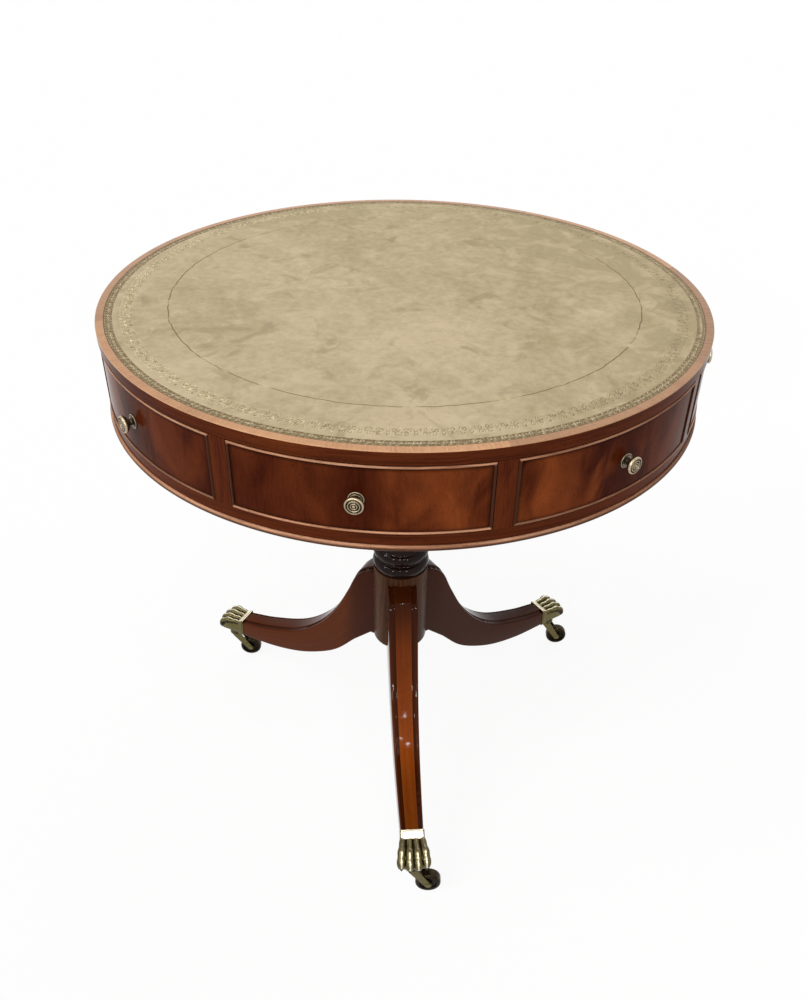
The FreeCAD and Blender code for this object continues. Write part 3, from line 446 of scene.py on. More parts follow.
iron, tree, gloss = new_finish("blackened_wrought_iron")
place = add(tree, "TexCoord").outputs["Object"]
scale_marks = add(tree, "TexNoise", {"Vector": place, "Scale": 1 / scale_size, "Detail": 5.0})
pits = add(tree, "TexNoise", {"Vector": place, "Scale": 1 / pit_size, "Detail": 3.0})
rust = add(tree, "MapRange", {"Value": scale_marks, "From Min": 0.52, "From Max": 0.68, "To Max": 0.7})
iron_colour = add(tree, "Mix", {"Factor": rust, "A": linear("#26231f"), "B": linear("#4a2d1c")},
                  data_type="RGBA")
iron_sheen = add(tree, "MapRange", {"Value": scale_marks, "To Min": 0.4, "To Max": 0.7})
iron_pits = add(tree, "Bump", {"Strength": 0.3, "Distance": pit_depth, "Height": pits})
coat(tree, gloss, iron_colour, iron_sheen, iron_pits)
gloss.inputs["Metallic"].default_value = 0.7
refinish(("leg_tie_plate", "tie_plate_screws", "bearing_plate_screws", "pivot_block_screws", "pivot_spindle",
          "spindle_washer", "spindle_nut"), iron)

# Brass paws: hollow castings slipped over the ends of the legs. A plain polished collar, then four toes that
# fan out over a palm, with dark hollows between them and a claw at each tip.
paw_lip = 1.2 * mm
collar_corner = 3 * mm
collar_top_highlight = 1.2
collar_dull_inset = 0.8 * mm
collar_side_light = 0.42
palm_grime_height = 82 * mm
palm_grime_depth = 22 * mm
palm_least_wear = 0.15
palm_most_wear = 0.5
toe_count = 4
toe_pitch = 11.6 * mm
toe_setback = 3.5 * mm
# Toes and claws from the side in millimetres: the way past the leg's end and the height, and half the width
toe_line = [(11, 87.6), (16, 89.2), (24, 88.2), (32, 88.6), (38, 85.4), (43.5, 82), (46, 75.5), (44.5, 70.5)]
toe_widths = [3.6, 4.4, 4.6, 6.0, 5.6, 6.4, 5.4, 2.6]
claw_line = [(45.5, 79), (48.4, 76.6), (50.2, 73.8), (50.6, 71.6)]
claw_widths = [2.6, 2.4, 1.8, 0.7]
claw_wear = 0.08
boss_radius = 12 * mm
boss_bottom = 57.5 * mm
boss_edge = 1 * mm
boss_sunk = 4 * mm
boss_wear = 0.3
swivel_reach = 26 * mm
swivel_radius = leg_end_radius + swivel_reach
sole_height = 67 * mm


def rounded_outline(half_width, low, high, corner, count=9):
    """A rectangle with rounded corners across the leg, as points of y and z, closed on itself."""
    quarter = np.linspace(0, math.pi / 2, count)
    middles = [(1, -1), (1, 1), (-1, 1), (-1, -1)]
    corners = []
    for step, (side, end) in enumerate(middles):
        angle = quarter + (step - 1) * math.pi / 2
        y = side * (half_width - corner) + corner * np.cos(angle)
        z = (high if end > 0 else low) - end * corner + corner * np.sin(angle)
        corners.append(np.stack([y, z], 1))
    outline = np.concatenate(corners)
    return np.concatenate([outline, outline[:1]])


def paw_sections(along, halves, lows, highs, corners):
    """Rounded outlines across the leg, set along it from its end, with a cap on the first and the last."""
    rows = []
    for x, half, low, high, corner in zip(along, halves, lows, highs, corners):
        outline = rounded_outline(half, low, high, corner)
        rows.append(np.column_stack([np.full(len(outline), leg_end_radius + x), outline]))
    return capped(np.array(rows))


def collar_surface():
    """The collar: a rounded outline carried along the leg, drawn in at its ends and at one fine turned line.
    Its top falls towards the toes and is polished, with a painted highlight that makes it near white, and its
    sides are dull."""
    half = leg_half_at_paw + paw_lip
    along = np.array([0, 0, 0.5, 1.6, 2.0, 2.3, 2.8, 3.1, 6.0, 9.0, 11.4, 12.2, 12.8, 13.0]) * mm
    inset = np.array([3, 0.6, 0.1, 0.0, 0.1, 0.5, 0.5, 0.1, 0.1, 0.1, 0.2, 0.7, 1.6, 3.5]) * mm
    falls = np.interp(along, np.array([0, 1.5, 3.5, 6, 9, 13]) * mm,
                      np.array([0, 0.2, 1, 2.2, 3.8, 6.2]) * mm)
    points = paw_sections(along, half - inset, leg_end_bottom - paw_lip + inset,
                          leg_end_top + paw_lip - inset - falls, np.full(len(along), collar_corner))
    along_wear_and_highlight = np.pad(collar_top_highlight - inset / collar_dull_inset, 1, mode="edge")[:, None]
    turn_down = [half - 2.5 * mm, half - 0.7 * mm]
    return points, along_wear_and_highlight * np.interp(abs(points[..., 1]), turn_down, [1, collar_side_light])


def palm_surface():
    """The palm under the toes: rounded outlines that widen and sink from the collar to the ball of the foot.
    Its top, in the grooves, keeps its grime, and its sides are half worn."""
    along = np.array([9, 18, 30, 39, 43.5, 45.5]) * mm
    halves = np.array([16.6, 18.6, 21.0, 21.4, 19, 14]) * mm
    lows = np.array([63.6, 65.2, 67, 67, 68.5, 72]) * mm
    highs = np.array([90, 89.6, 89, 87, 82.5, 78]) * mm
    corners = np.array([7, 7, 7, 7, 7, 3.5]) * mm
    points = paw_sections(along, halves, lows, highs, corners)
    grime = (points[..., 2] - palm_grime_height) / palm_grime_depth
    return points, np.clip(palm_most_wear - grime, palm_least_wear, palm_most_wear)


def toe_surface(line, widths, share, rows=34, columns=28):
    """A tapering tube along a line of the side view. Its sideways place is a share of the paw's half width,
    which widens from the collar to the tips, and the outer toes fall a little short."""
    table = np.column_stack([np.array(line), widths]) * mm
    smooth = np.column_stack([through(table[:, :2], rows), through(table[:, 1:], rows)[:, 1]])
    toe_tip = table[:, 0].max()
    reach = np.clip(smooth[:, 0] / toe_tip, 0, 1)
    shortened = smooth[:, 0] - toe_setback * reach * (abs(share) > 0.5)
    spread = share * ((leg_half_at_paw + paw_lip) * (1 - reach) + toe_count * toe_pitch / 2 * reach)
    middle = np.column_stack([leg_end_radius + shortened, spread, smooth[:, 1]])
    ahead = np.gradient(middle, axis=0)
    ahead /= np.linalg.norm(ahead, axis=1)[:, None]
    across = np.broadcast_to((0.0, -1.0, 0.0), ahead.shape)
    over = np.cross(across, ahead)
    over /= np.linalg.norm(over, axis=1)[:, None]
    angle = np.linspace(0, 2 * math.pi, columns + 1)
    ring = np.cos(angle)[:, None] * over[:, None] + np.sin(angle)[:, None] * across[:, None]
    points = middle[:, None] + ring * smooth[:, 2][:, None, None]
    # A painted highlight along each toe's crest, partly worn bright brass; the flanks stay olive
    crest_highlight = np.interp(np.cos(angle), [-1, 0, 0.6, 0.9, 0.97, 1], [0.05, 0.1, 0.3, 0.4, 0.55, 1.05])
    return capped(points), np.broadcast_to(crest_highlight, (rows + 2, columns + 1))


def brass(name, bright, dull, grime, roughness, cast_size):
    """A brass surface. The wear of the piece says where grime stays, near 0, where the metal is dull, near a
    half, and where handling keeps it bright or a painted highlight stands, near 1; noise of the casting's
    size breaks that up."""
    finish, tree, gloss = new_finish(name)
    place = add(tree, "TexCoord").outputs["Object"]
    worn = add(tree, "Attribute", attribute_name="wear").outputs["Fac"]
    cloud = add(tree, "TexNoise", {"Vector": place, "Scale": 1 / cast_size, "Detail": 4.0})
    specks = add(tree, "TexNoise", {"Vector": place, "Scale": 4 / cast_size, "Detail": 2.0})
    uneven = add(tree, "Math", {0: cloud, 1: 0.5}, operation="SUBTRACT")
    rubbed = add(tree, "Math", {0: uneven, 1: 0.7, 2: worn}, operation="MULTIPLY_ADD")
    cleaned = add(tree, "MapRange", {"Value": rubbed, "From Min": 0.05, "From Max": 0.45})
    polished = add(tree, "MapRange", {"Value": rubbed, "From Min": 0.6, "From Max": 1.0})
    tarnish = add(tree, "Mix", {"Factor": cleaned, "A": linear(grime), "B": linear(dull)}, data_type="RGBA")
    colour = add(tree, "Mix", {"Factor": polished, "A": tarnish, "B": linear(bright)}, data_type="RGBA")
    sheen = add(tree, "MapRange", {"Value": rubbed, "To Min": roughness * 1.7, "To Max": roughness})
    surface = add(tree, "Bump", {"Strength": 0.25, "Distance": 0.15 * mm, "Height": specks})
    coat(tree, gloss, colour, sheen, surface)
    gloss.inputs["Metallic"].default_value = 1.0
    return finish


# Cast brass, lacquered long ago: pale gold where rubbed and where a painted highlight lies on the paws'
# collars and toe crests, olive on the flanks and nearly black in the hollows
cast_brass = brass("cast_lacquered_brass", bright="#f4ead0", dull="#6b623f", grime="#231e12",
                   roughness=0.28, cast_size=3 * mm)
collar_grid, collar_wear_and_highlight = collar_surface()
palm_grid, palm_wear = palm_surface()
boss_profile = [(0, boss_bottom), (boss_radius - boss_edge, boss_bottom),
                (boss_radius, boss_bottom + boss_edge), (boss_radius, sole_height + boss_sunk),
                (0, sole_height + boss_sunk)]
boss_grid = lathe(boss_profile, 40) + np.array([swivel_radius, 0, 0])
paw_grids = [collar_grid, palm_grid, boss_grid]
# The collars' tops and the toes' crests carry painted highlights in their wear
paw_wear_and_highlight = [collar_wear_and_highlight, palm_wear, np.full(boss_grid.shape[:2], boss_wear)]
for step in range(toe_count):
    share = (step + 0.5) * 2 / toe_count - 1
    for line, widths in ((toe_line, toe_widths), (claw_line, claw_widths)):
        grid, crest_highlight = toe_surface(line, widths, share)
        paw_grids.append(grid)
        paw_wear_and_highlight.append(crest_highlight if line is toe_line else np.full(crest_highlight.shape, claw_wear))
for number, angle in enumerate(leg_angles, 1):
    paw = solid("paw_%d_casting" % number, [turned(grid, angle) for grid in paw_grids], cast_brass,
                wear=paw_wear_and_highlight, crisp=50)
    dress(paw, "pedestal", "paw_%d" % number)

# Castors: a brass horn turns on a stem in the paw, and its two cheeks reach back and down to the axle, which
# is riveted over outside them.
castor_trail = 22 * mm
trail_angle = 6.8
wheel_radius = 18 * mm
wheel_half = 7.5 * mm
cheek_inner = 8.1 * mm
cheek_outer = 10.5 * mm
crown_radius = 12.5 * mm
crown_low = 51.2 * mm
crown_high = 57.2 * mm
arm_radius = 6 * mm
eye_radius = 4.8 * mm
stem_radius = 4 * mm
stem_top = 83.2 * mm
axle_head_radius = 3.6 * mm
axle_head_height = 1.2 * mm
axle_head_round = 0.5 * mm
horn_rubs = (0.3, 0.3, 0.42, 0.42, 0.5)
edge_break = 0.5 * mm


def cheek_surface(side):
    """One cheek: the outline round two circles, at the crown and at the axle, carried across its thickness
    with broken edges. In each direction the circle that reaches further gives the point."""
    angle = np.linspace(0, 2 * math.pi, 73)
    way = np.stack([np.cos(angle), np.sin(angle)], 1)
    upper, lower = np.array([0, crown_low]), np.array([castor_trail, wheel_radius])
    nearer = (way @ (lower - upper) > arm_radius - eye_radius)[:, None]
    middle = np.where(nearer, lower, upper)
    radius = np.where(nearer, eye_radius, arm_radius)
    across = np.array([cheek_inner, cheek_inner + edge_break, cheek_outer - edge_break, cheek_outer])
    drawn = np.array([edge_break, 0, 0, edge_break])[:, None, None]
    outline = middle + way * (radius - drawn)
    y = np.broadcast_to(side * across[:, None], outline.shape[:2])
    return capped(np.stack([outline[..., 0], y, outline[..., 1]], -1))


def on_axle(profile, turns=48):
    """A profile of radius and sideways distance carried round the wheel's axle."""
    grid = lathe(profile, turns)
    return np.stack([grid[..., 0] + castor_trail, grid[..., 2], grid[..., 1] + wheel_radius], -1)


crown_profile = [(0, crown_low), (crown_radius - edge_break, crown_low),
                 (crown_radius, crown_low + 2 * edge_break), (crown_radius, crown_high - 2 * edge_break),
                 (crown_radius - 2 * edge_break, crown_high), (0, crown_high)]
crown_grid = lathe(crown_profile, 64)
crown_grid[..., 1] = np.clip(crown_grid[..., 1], -cheek_outer, cheek_outer)
stem_grid = lathe([(0, crown_low), (stem_radius, crown_low), (stem_radius, stem_top), (0, stem_top)], 32)
axle_end = cheek_outer + axle_head_height
axle_profile = np.concatenate([
    [(0, -axle_end)],
    bow((axle_head_radius / 2, -axle_end), (axle_head_radius, -cheek_outer), axle_head_round, 6),
    bow((axle_head_radius, cheek_outer), (axle_head_radius / 2, axle_end), axle_head_round, 6),
    [(0, axle_end)]])
horn_grids = [crown_grid, stem_grid, cheek_surface(1), cheek_surface(-1), on_axle(axle_profile, 32)]
horn_wear = [np.full(grid.shape[:2], amount) for grid, amount in zip(horn_grids, horn_rubs)]
swivels = []
for number, angle in enumerate(leg_angles, 1):
    bearing = math.radians(angle)
    swivels.append((swivel_radius * math.cos(bearing), swivel_radius * math.sin(bearing), 0))
    horn = solid("castor_%d_horn_casting" % number,
                 [turned(grid, trail_angle, swivels[-1]) for grid in horn_grids], cast_brass, wear=horn_wear)
    dress(horn, "castor_%d" % number, "castor_horn_%d" % number)

# Castor wheels: turned brass, darkened almost black by use, with a rounded tread and a dish on each side
# round the hub.
hub_radius = 6 * mm
hub_edge = 0.6 * mm
hub_edge_hollow = 0.17 * mm
dish_radius = 12.5 * mm
dish_depth = 2 * mm
dish_hollow = 0.4 * mm
dish_wall = 0.4 * mm
dish_slope = 0.6 * mm
rim_edge = 0.5 * mm
tread_round = 4 * mm
wheel_bore = 2.3 * mm
half_wheel = np.concatenate([
    [(wheel_bore, wheel_half), (hub_radius - hub_edge, wheel_half)],
    bow((hub_radius - hub_edge, wheel_half), (hub_radius, wheel_half - hub_edge), -hub_edge_hollow, 4),
    bow((hub_radius + dish_wall, wheel_half - dish_depth),
        (dish_radius - dish_slope, wheel_half - dish_depth), -dish_hollow, 7),
    [(dish_radius, wheel_half - rim_edge), (dish_radius + rim_edge, wheel_half)],
    bow((wheel_radius - tread_round, wheel_half), (wheel_radius, wheel_half - tread_round),
        -tread_round * quarter_rise, 9)])
other_half = half_wheel[::-1] * (1, -1)
wheel_profile = np.concatenate([half_wheel, other_half, half_wheel[:1]])
# Patinated brass: nearly black, brown-olive sheen where the tread rubs
dark_brass = brass("patinated_brass", bright="#4a3f2c", dull="#261f16", grime="#120e0a", roughness=0.3,
                   cast_size=4 * mm)
wheel_grid = on_axle(wheel_profile, 72)
wheel_rub = np.interp(wheel_profile[:, 0], [0.7 * dish_radius, wheel_radius], [0.2, 0.75])
wheel_wear = np.broadcast_to(wheel_rub[:, None], wheel_grid.shape[:2])
for number, swivel in enumerate(swivels, 1):
    wheel = solid("castor_%d_wheel_turning" % number, [turned(wheel_grid, trail_angle, swivel)], dark_brass,
                  wear=[wheel_wear])
    dress(wheel, "wheel_%d" % number, "castor_wheel_%d" % number)

# Carcase of the drum: bottom board, pivot block, runners, guides, kickers and stops, sawn from pine, glued
# and screwed together and washed with a brown stain.
stained_pine = wood("stained_pine", straight_grain("YXZ"), tones=("#5b3a20", "#7a5230", "#94683f"),
                    figure=(90 * mm, 500 * mm), streak=(6 * mm, 240 * mm), pore=(0.8 * mm, 14 * mm),
                    polish=(0.6, 0.3), glow=0.5)
refinish(("bottom_board", "pivot_block", "drawer_runners", "drawer_guides", "drawer_kickers", "drawer_stops"),
         stained_pine)

# Bush and thrust washer of the pivot: plain turned brass, dull with old grease. The bush sits in the pivot
# block, and the washer lies on the bearing plate under it.
greased_brass = brass("greased_turned_brass", bright="#a58a52", dull="#7d6637", grime="#66522b",
                      roughness=0.4, cast_size=6 * mm)
refinish(("pivot_bush", "thrust_washer"), greased_brass)

# Rails of the drum: rings of mahogany in curved lengths, veneered with the grain running round. A half-round
# bead is glued under the lower one.
upper_low, upper_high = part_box("upper_rail")
lower_low, lower_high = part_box("lower_rail")
bead_low, bead_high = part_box("base_bead")
drum_radius = upper_high.x
rail_depth = 23 * mm
rail_inner = drum_radius - rail_depth
rail_edge = 0.4 * mm
drum_turns = 360
front_count = 8
front_pitch = 360 / front_count
bead_steps = 13
# The painted highlight at places over the bead's nose, from its lower edge to its upper one
bead_highlight_over = [(-1, 0.02), (0.1, 0.06), (0.35, 0.5), (0.5, 0.9), (0.8, 0.9), (1, 0.1)]
bead_rubbed_most = math.radians(-108)
bead_light_even = 0.35
bead_light_least = 0.15


def round_grain(order):
    """Distances round the drum, up and outwards, in the order across the grain, along it and through it. The
    angle starts at the middle of a stile, so the place where it jumps lies in a joint."""
    def place(tree):
        start = add(tree, "Mapping", {"Vector": add(tree, "TexCoord").outputs["Object"],
                                      "Rotation": (0, 0, math.radians(front_pitch / 2))})
        split = add(tree, "SeparateXYZ", {0: start})
        flat = add(tree, "CombineXYZ", {0: split.outputs["X"], 1: split.outputs["Y"]})
        out = add(tree, "VectorMath", {0: flat}, operation="LENGTH")
        angle = add(tree, "Math", {0: split.outputs["Y"], 1: split.outputs["X"]}, operation="ARCTAN2")
        around = add(tree, "Math", {0: angle, 1: drum_radius}, operation="MULTIPLY")
        parts = {"round": around, "up": split.outputs["Z"], "out": out}
        return add(tree, "CombineXYZ", {step: parts[name] for step, name in enumerate(order)})
    return place


def ring(inner, outer, low, high, edge):
    """A rail's section with its outer corners broken, carried round the drum."""
    profile = [(inner, low), (outer - edge, low), (outer, low + edge), (outer, high - edge),
               (outer - edge, high), (inner, high), (inner, low)]
    return lathe(profile, drum_turns)


# Plain mahogany veneer, darker than the fronts, with fine lines running round the drum
rail_veneer = wood("polished_mahogany_veneer_rails", round_grain(("up", "round", "out")),
                   tones=("#3a1609", "#52230f", "#6a3214"), figure=(50 * mm, 260 * mm),
                   streak=(2.6 * mm, 90 * mm), pore=(0.5 * mm, 9 * mm), polish=(0.16, 0.02))
upper_rail_grid = ring(rail_inner, drum_radius, upper_low.z, upper_high.z, rail_edge)
lower_rail_grid = ring(rail_inner, drum_radius, lower_low.z, lower_high.z, rail_edge)
upper_rail = solid("upper_rail_veneered", [upper_rail_grid], rail_veneer)
lower_rail = solid("lower_rail_veneered", [lower_rail_grid], rail_veneer)
bead_radius = (bead_high.z - bead_low.z) / 2
bead_profile = np.concatenate([
    [(rail_inner, bead_low.z)],
    bow((bead_high.x - bead_radius, bead_low.z), (bead_high.x - bead_radius, bead_high.z), bead_radius,
        bead_steps),
    [(rail_inner, bead_high.z), (rail_inner, bead_low.z)]])
# Solid mahogany strip. A painted highlight makes it pale orange-brown along its nose, brightest at the front
# left where the light falls
bead_mahogany = wood("polished_mahogany_beads", round_grain(("up", "round", "out")),
                     tones=("#84492e", "#d89a74", "#ecba96"), figure=(30 * mm, 200 * mm),
                     streak=(1.4 * mm, 60 * mm), pore=(0.5 * mm, 8 * mm), polish=(0.2, 0.04), rubbed=True)
base_bead_grid = lathe(bead_profile, drum_turns)
bead_highlight = np.interp(np.linspace(-1, 1, bead_steps), *np.array(bead_highlight_over).T)
bead_highlight = np.concatenate([[0], bead_highlight, [0, 0]])[:, None]
# The base bead's painted highlight is brightest at the front left, where the light falls, and fades round the
# drum
bead_angle = np.linspace(0, 2 * math.pi, drum_turns + 1)
bead_lit_side = bead_light_even + (1 - bead_light_even) * np.cos(bead_angle - bead_rubbed_most)
bead_lit_side = np.clip(bead_lit_side, bead_light_least, 1)
base_bead = solid("base_bead_moulding", [base_bead_grid], bead_mahogany, wear=[bead_highlight * bead_lit_side])
for rail, node in ((upper_rail, "upper_rail"), (lower_rail, "lower_rail"), (base_bead, "base_bead")):
    dress(rail, "drum", node)

# Stiles: short uprights of mahogany that stand between the two rails and part the openings. They are veneered
# with the grain standing upright.
stile_low, stile_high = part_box("drum_stiles")
stile_depth = 30 * mm
stile_width = 20.3 * mm
opening_half = drum_radius * math.sin(math.radians(front_pitch / 2) - stile_width / drum_radius / 2)


def stile_surface(columns=9):
    """The stile at the right of the front on -Y. At every radius its edges lie in the planes of the two
    openings beside it, so its angle runs between the angles that those planes have there."""
    radius = np.array([1, 1, 0, 0, 1]) * stile_depth + drum_radius - stile_depth
    height = np.array([stile_low.z, stile_high.z, stile_high.z, stile_low.z, stile_low.z])
    edge = np.arcsin(opening_half / radius)
    first = -math.pi / 2 + edge
    last = -math.pi / 2 + math.radians(front_pitch) - edge
    share = np.linspace(0, 1, columns)[:, None]
    angle = first + (last - first) * share
    points = np.stack([radius * np.cos(angle), radius * np.sin(angle), height + 0 * angle], -1)
    return capped(points)


# Plain mahogany veneer again, with close lines that stand upright under the same polish
stile_veneer = wood("polished_mahogany_veneer_stiles", round_grain(("round", "up", "out")),
                    tones=("#3e1709", "#54230f", "#6a3114"), figure=(24 * mm, 120 * mm),
                    streak=(1.8 * mm, 50 * mm), pore=(0.5 * mm, 9 * mm), polish=(0.16, 0.02))
stile_grids = [turned(stile_surface(), front_pitch * step) for step in range(front_count)]
stiles = solid("drum_stiles_veneered", stile_grids, stile_veneer)
dress(stiles, "drum", "drum_stiles")

# Bowed fronts: solid mahogany sawn to the curve and faced with flame veneer, which is cut where a branch
# leaves the trunk, so dark and bright patches swim across it. Four are drawers and four are dummies.
front_low, front_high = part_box("drawer_1_front")
front_half = front_high.x
front_middle = (front_low.z + front_high.z) / 2
front_back = -front_high.y
face_setback = 0.4 * mm
face_radius = drum_radius - face_setback
bead_cover = 0.15 * mm
plain_inset = 12 * mm
# The colour kept at steps in from the edges of a front; the low values near the edges paint a shadow along
# the beads, deepest under the upper one
shade_at_sides = [0.2, 0.25, 0.7, 1]
shade_at_top = [0.1, 0.12, 0.6, 1]
shade_at_foot = [0.4, 0.4, 0.8, 1]
heart_from = 8 * mm
heart_to = 32 * mm
heart_glow = 0.25
flame_shift = math.radians(-22)
drawer_turns = [0, 90, 180, 270]


def front_surface(low, high, rows=61, columns=13):
    """The front on -Y: across it runs x, round its section the loop up the bowed face and down the flat back.
    A painted shadow lies along the beads, deepest under the upper one, where the wear is low."""
    inset = np.array([0, 3.2, 5, 7.5]) * mm
    x = front_half - bead_cover - np.concatenate([inset, np.linspace(plain_inset, front_half, rows // 2)])
    x = np.concatenate([-x, x[-2::-1]])[:, None]
    up = np.linspace(low + plain_inset, high - plain_inset, columns - 2 * len(inset))
    up = np.concatenate([low + bead_cover + inset, up, (high - bead_cover - inset)[::-1]])
    loop = np.concatenate([up, up[::-1], up[:1]])
    front_face = np.concatenate([np.ones(columns), np.zeros(columns), np.ones(1)])
    y = -(front_face * np.sqrt(face_radius ** 2 - x ** 2) + (1 - front_face) * front_back)
    # Painted shadow: the colour darkens in steps towards the beads, most under the upper one
    from_side = np.interp(front_half - abs(x), inset, shade_at_sides)
    from_top = np.interp(high - loop, inset, shade_at_top)
    worn = from_side * from_top * np.interp(loop - low, inset, shade_at_foot)
    points = np.stack(np.broadcast_arrays(x, y, loop[None]), -1)
    return capped(points), np.concatenate([worn[:1], worn, worn[-1:]])


def flame_spread(tree):
    """How far the flame figure shows across each front: least at the dark heart behind the knob, and rising
    and falling once in every pair of fronts, so that a dark end of one meets a dark end of the next."""
    split = add(tree, "SeparateXYZ", {0: round_grain(("round", "up", "out"))(tree)})
    pitch = drum_radius * math.radians(front_pitch)
    from_end = add(tree, "Math", {0: split.outputs["X"], 1: pitch, 2: 0.0}, operation="WRAP")
    from_middle = add(tree, "Math", {0: from_end, 1: pitch / 2}, operation="SUBTRACT")
    aside = add(tree, "Math", {0: from_middle}, operation="ABSOLUTE")
    heart = add(tree, "MapRange", {"Value": aside, "From Min": heart_from, "From Max": heart_to,
                                   "To Min": heart_glow})
    turn = add(tree, "Math", {0: split.outputs["X"], 1: math.pi / pitch, 2: flame_shift},
               operation="MULTIPLY_ADD")
    wave = add(tree, "Math", {0: turn}, operation="COSINE")
    ends = add(tree, "MapRange", {"Value": wave, "From Min": -0.6, "To Min": 1.0, "To Max": 0.25})
    return add(tree, "Math", {0: heart, 1: ends}, operation="MULTIPLY")


# Flame mahogany veneer: upright grain that sways, with orange patches and near-black shadows under the polish
flame_veneer = wood("flame_mahogany_veneer", round_grain(("round", "up", "out")),
                    tones=("#331006", "#41170a", "#86421e"), figure=(44 * mm, 80 * mm),
                    streak=(2.4 * mm, 70 * mm), pore=(0.5 * mm, 8 * mm), polish=(0.15, 0.014), glow=0.85,
                    spread=flame_spread, rubbed=True)
drawer_front, front_shade = front_surface(front_low.z, front_high.z)
for number, angle in enumerate(drawer_turns, 1):
    front = solid("drawer_%d_front_veneered" % number, [turned(drawer_front, angle)], flame_veneer,
                  wear=[front_shade])
    dress(front, "drawer_%d" % number, "drawer_%d_front" % number)
dummy_low, dummy_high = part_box("dummy_fronts")
dummy_front, dummy_front_shade = front_surface(dummy_low.z, dummy_high.z)
dummies = solid("dummy_fronts_veneered", [turned(dummy_front, angle + front_pitch) for angle in drawer_turns],
                flame_veneer, wear=[dummy_front_shade] * len(drawer_turns))
dress(dummies, "drum", "dummy_fronts")

# Cock beads: thin mahogany strips let into the edges of each front and mitred at the corners, with a round
# nose that stands proud of the veneer.
cock_bead_width = 3 * mm
cock_bead_nose = 1.5 * mm
cock_bead_depth = 6.9 * mm
# Painted light on the beads: a highlight along the level strips' noses, brightest on their upper side, the
# upright strips dark as shade, and on the dummies the lower strips darker than the upper ones
level_highlight = 0.75
level_upper_highlight = 0.6
upright_shade = 0.02
dummy_upper_light = 0.8
dummy_lower_light = 0.42


def bead_surface():
    """Four mitred strips round the front on -Y. Round them runs a rectangle, drawn in as the section crosses
    the bead; the section goes up the outer side, over a half-round nose and down the inner side. The wear
    paints a highlight on the nose, strongest on the upper side of the level strips, and paints the upright
    ones dark as shade."""
    side = np.linspace(-1, 1, 49)[:-1]
    end = np.concatenate([[-1, -0.95], np.linspace(-0.9, 0.9, 5), [0.95]])
    full, rest = np.ones(len(side)), np.ones(len(end))
    across = np.concatenate([side, rest, -side, -rest, side[:1]])
    up = np.concatenate([-full, end, full, -end, -full[:1]])
    over = np.linspace(0, math.pi, 11)
    drawn = np.concatenate([[0], cock_bead_width / 2 * (1 - np.cos(over)), [cock_bead_width], [0]])[:, None]
    root = [-cock_bead_depth]
    proud = np.concatenate([root, cock_bead_nose * np.sin(over), root, root])[:, None]
    half_height = (front_high.z - front_low.z) / 2
    x = across * (front_half - drawn)
    z = front_middle + up * (half_height - drawn)
    y = -np.sqrt((face_radius + proud) ** 2 - x ** 2)
    nose = np.concatenate([[0], np.sin(over), [0, 0]])[:, None]
    outward = np.concatenate([[1], np.cos(over), [-1, 1]])[:, None]
    level = np.abs(up) == 1
    level_highlight_share = np.clip(nose * (level_highlight + level_upper_highlight * up * outward), 0, 1)
    return np.stack([x, y, z], -1), np.where(level, level_highlight_share, upright_shade * nose)


bead_grid, bead_light = bead_surface()
for number, angle in enumerate(drawer_turns, 1):
    beads = solid("drawer_%d_beads_moulded" % number, [turned(bead_grid, angle)], bead_mahogany,
                  wear=[bead_light])
    dress(beads, "drawer_%d" % number, "drawer_%d_cock_beads" % number)
# The dummies' beads: the painted highlight is brighter on the upper strips than on the lower ones
dummy_bead_light = np.where(bead_grid[..., 2] > front_middle, dummy_upper_light, dummy_lower_light)
dummy_beads = solid("dummy_beads_moulded", [turned(bead_grid, angle + front_pitch) for angle in drawer_turns],
                    bead_mahogany, wear=[dummy_bead_light * bead_light] * len(drawer_turns))
dress(dummy_beads, "drum", "dummy_cock_beads")

# Drawer boxes: thin hardwood sides dovetailed into the front, a back, and a bottom held in grooves. They are
# left bare inside, waxed only where they slide.
for grain_order, numbers in (("XYZ", (1, 3)), ("YXZ", (2, 4))):
    lining = wood("waxed_hardwood_lining_" + grain_order.lower(), straight_grain(grain_order),
                  tones=("#7c522c", "#9c6c3e", "#b58650"), figure=(50 * mm, 300 * mm),
                  streak=(3 * mm, 130 * mm), pore=(0.6 * mm, 10 * mm), polish=(0.5, 0.35), glow=0.5)
    refinish(["drawer_%d_%s" % (number, part) for number in numbers for part in ("carcase", "bottom")],
             lining)

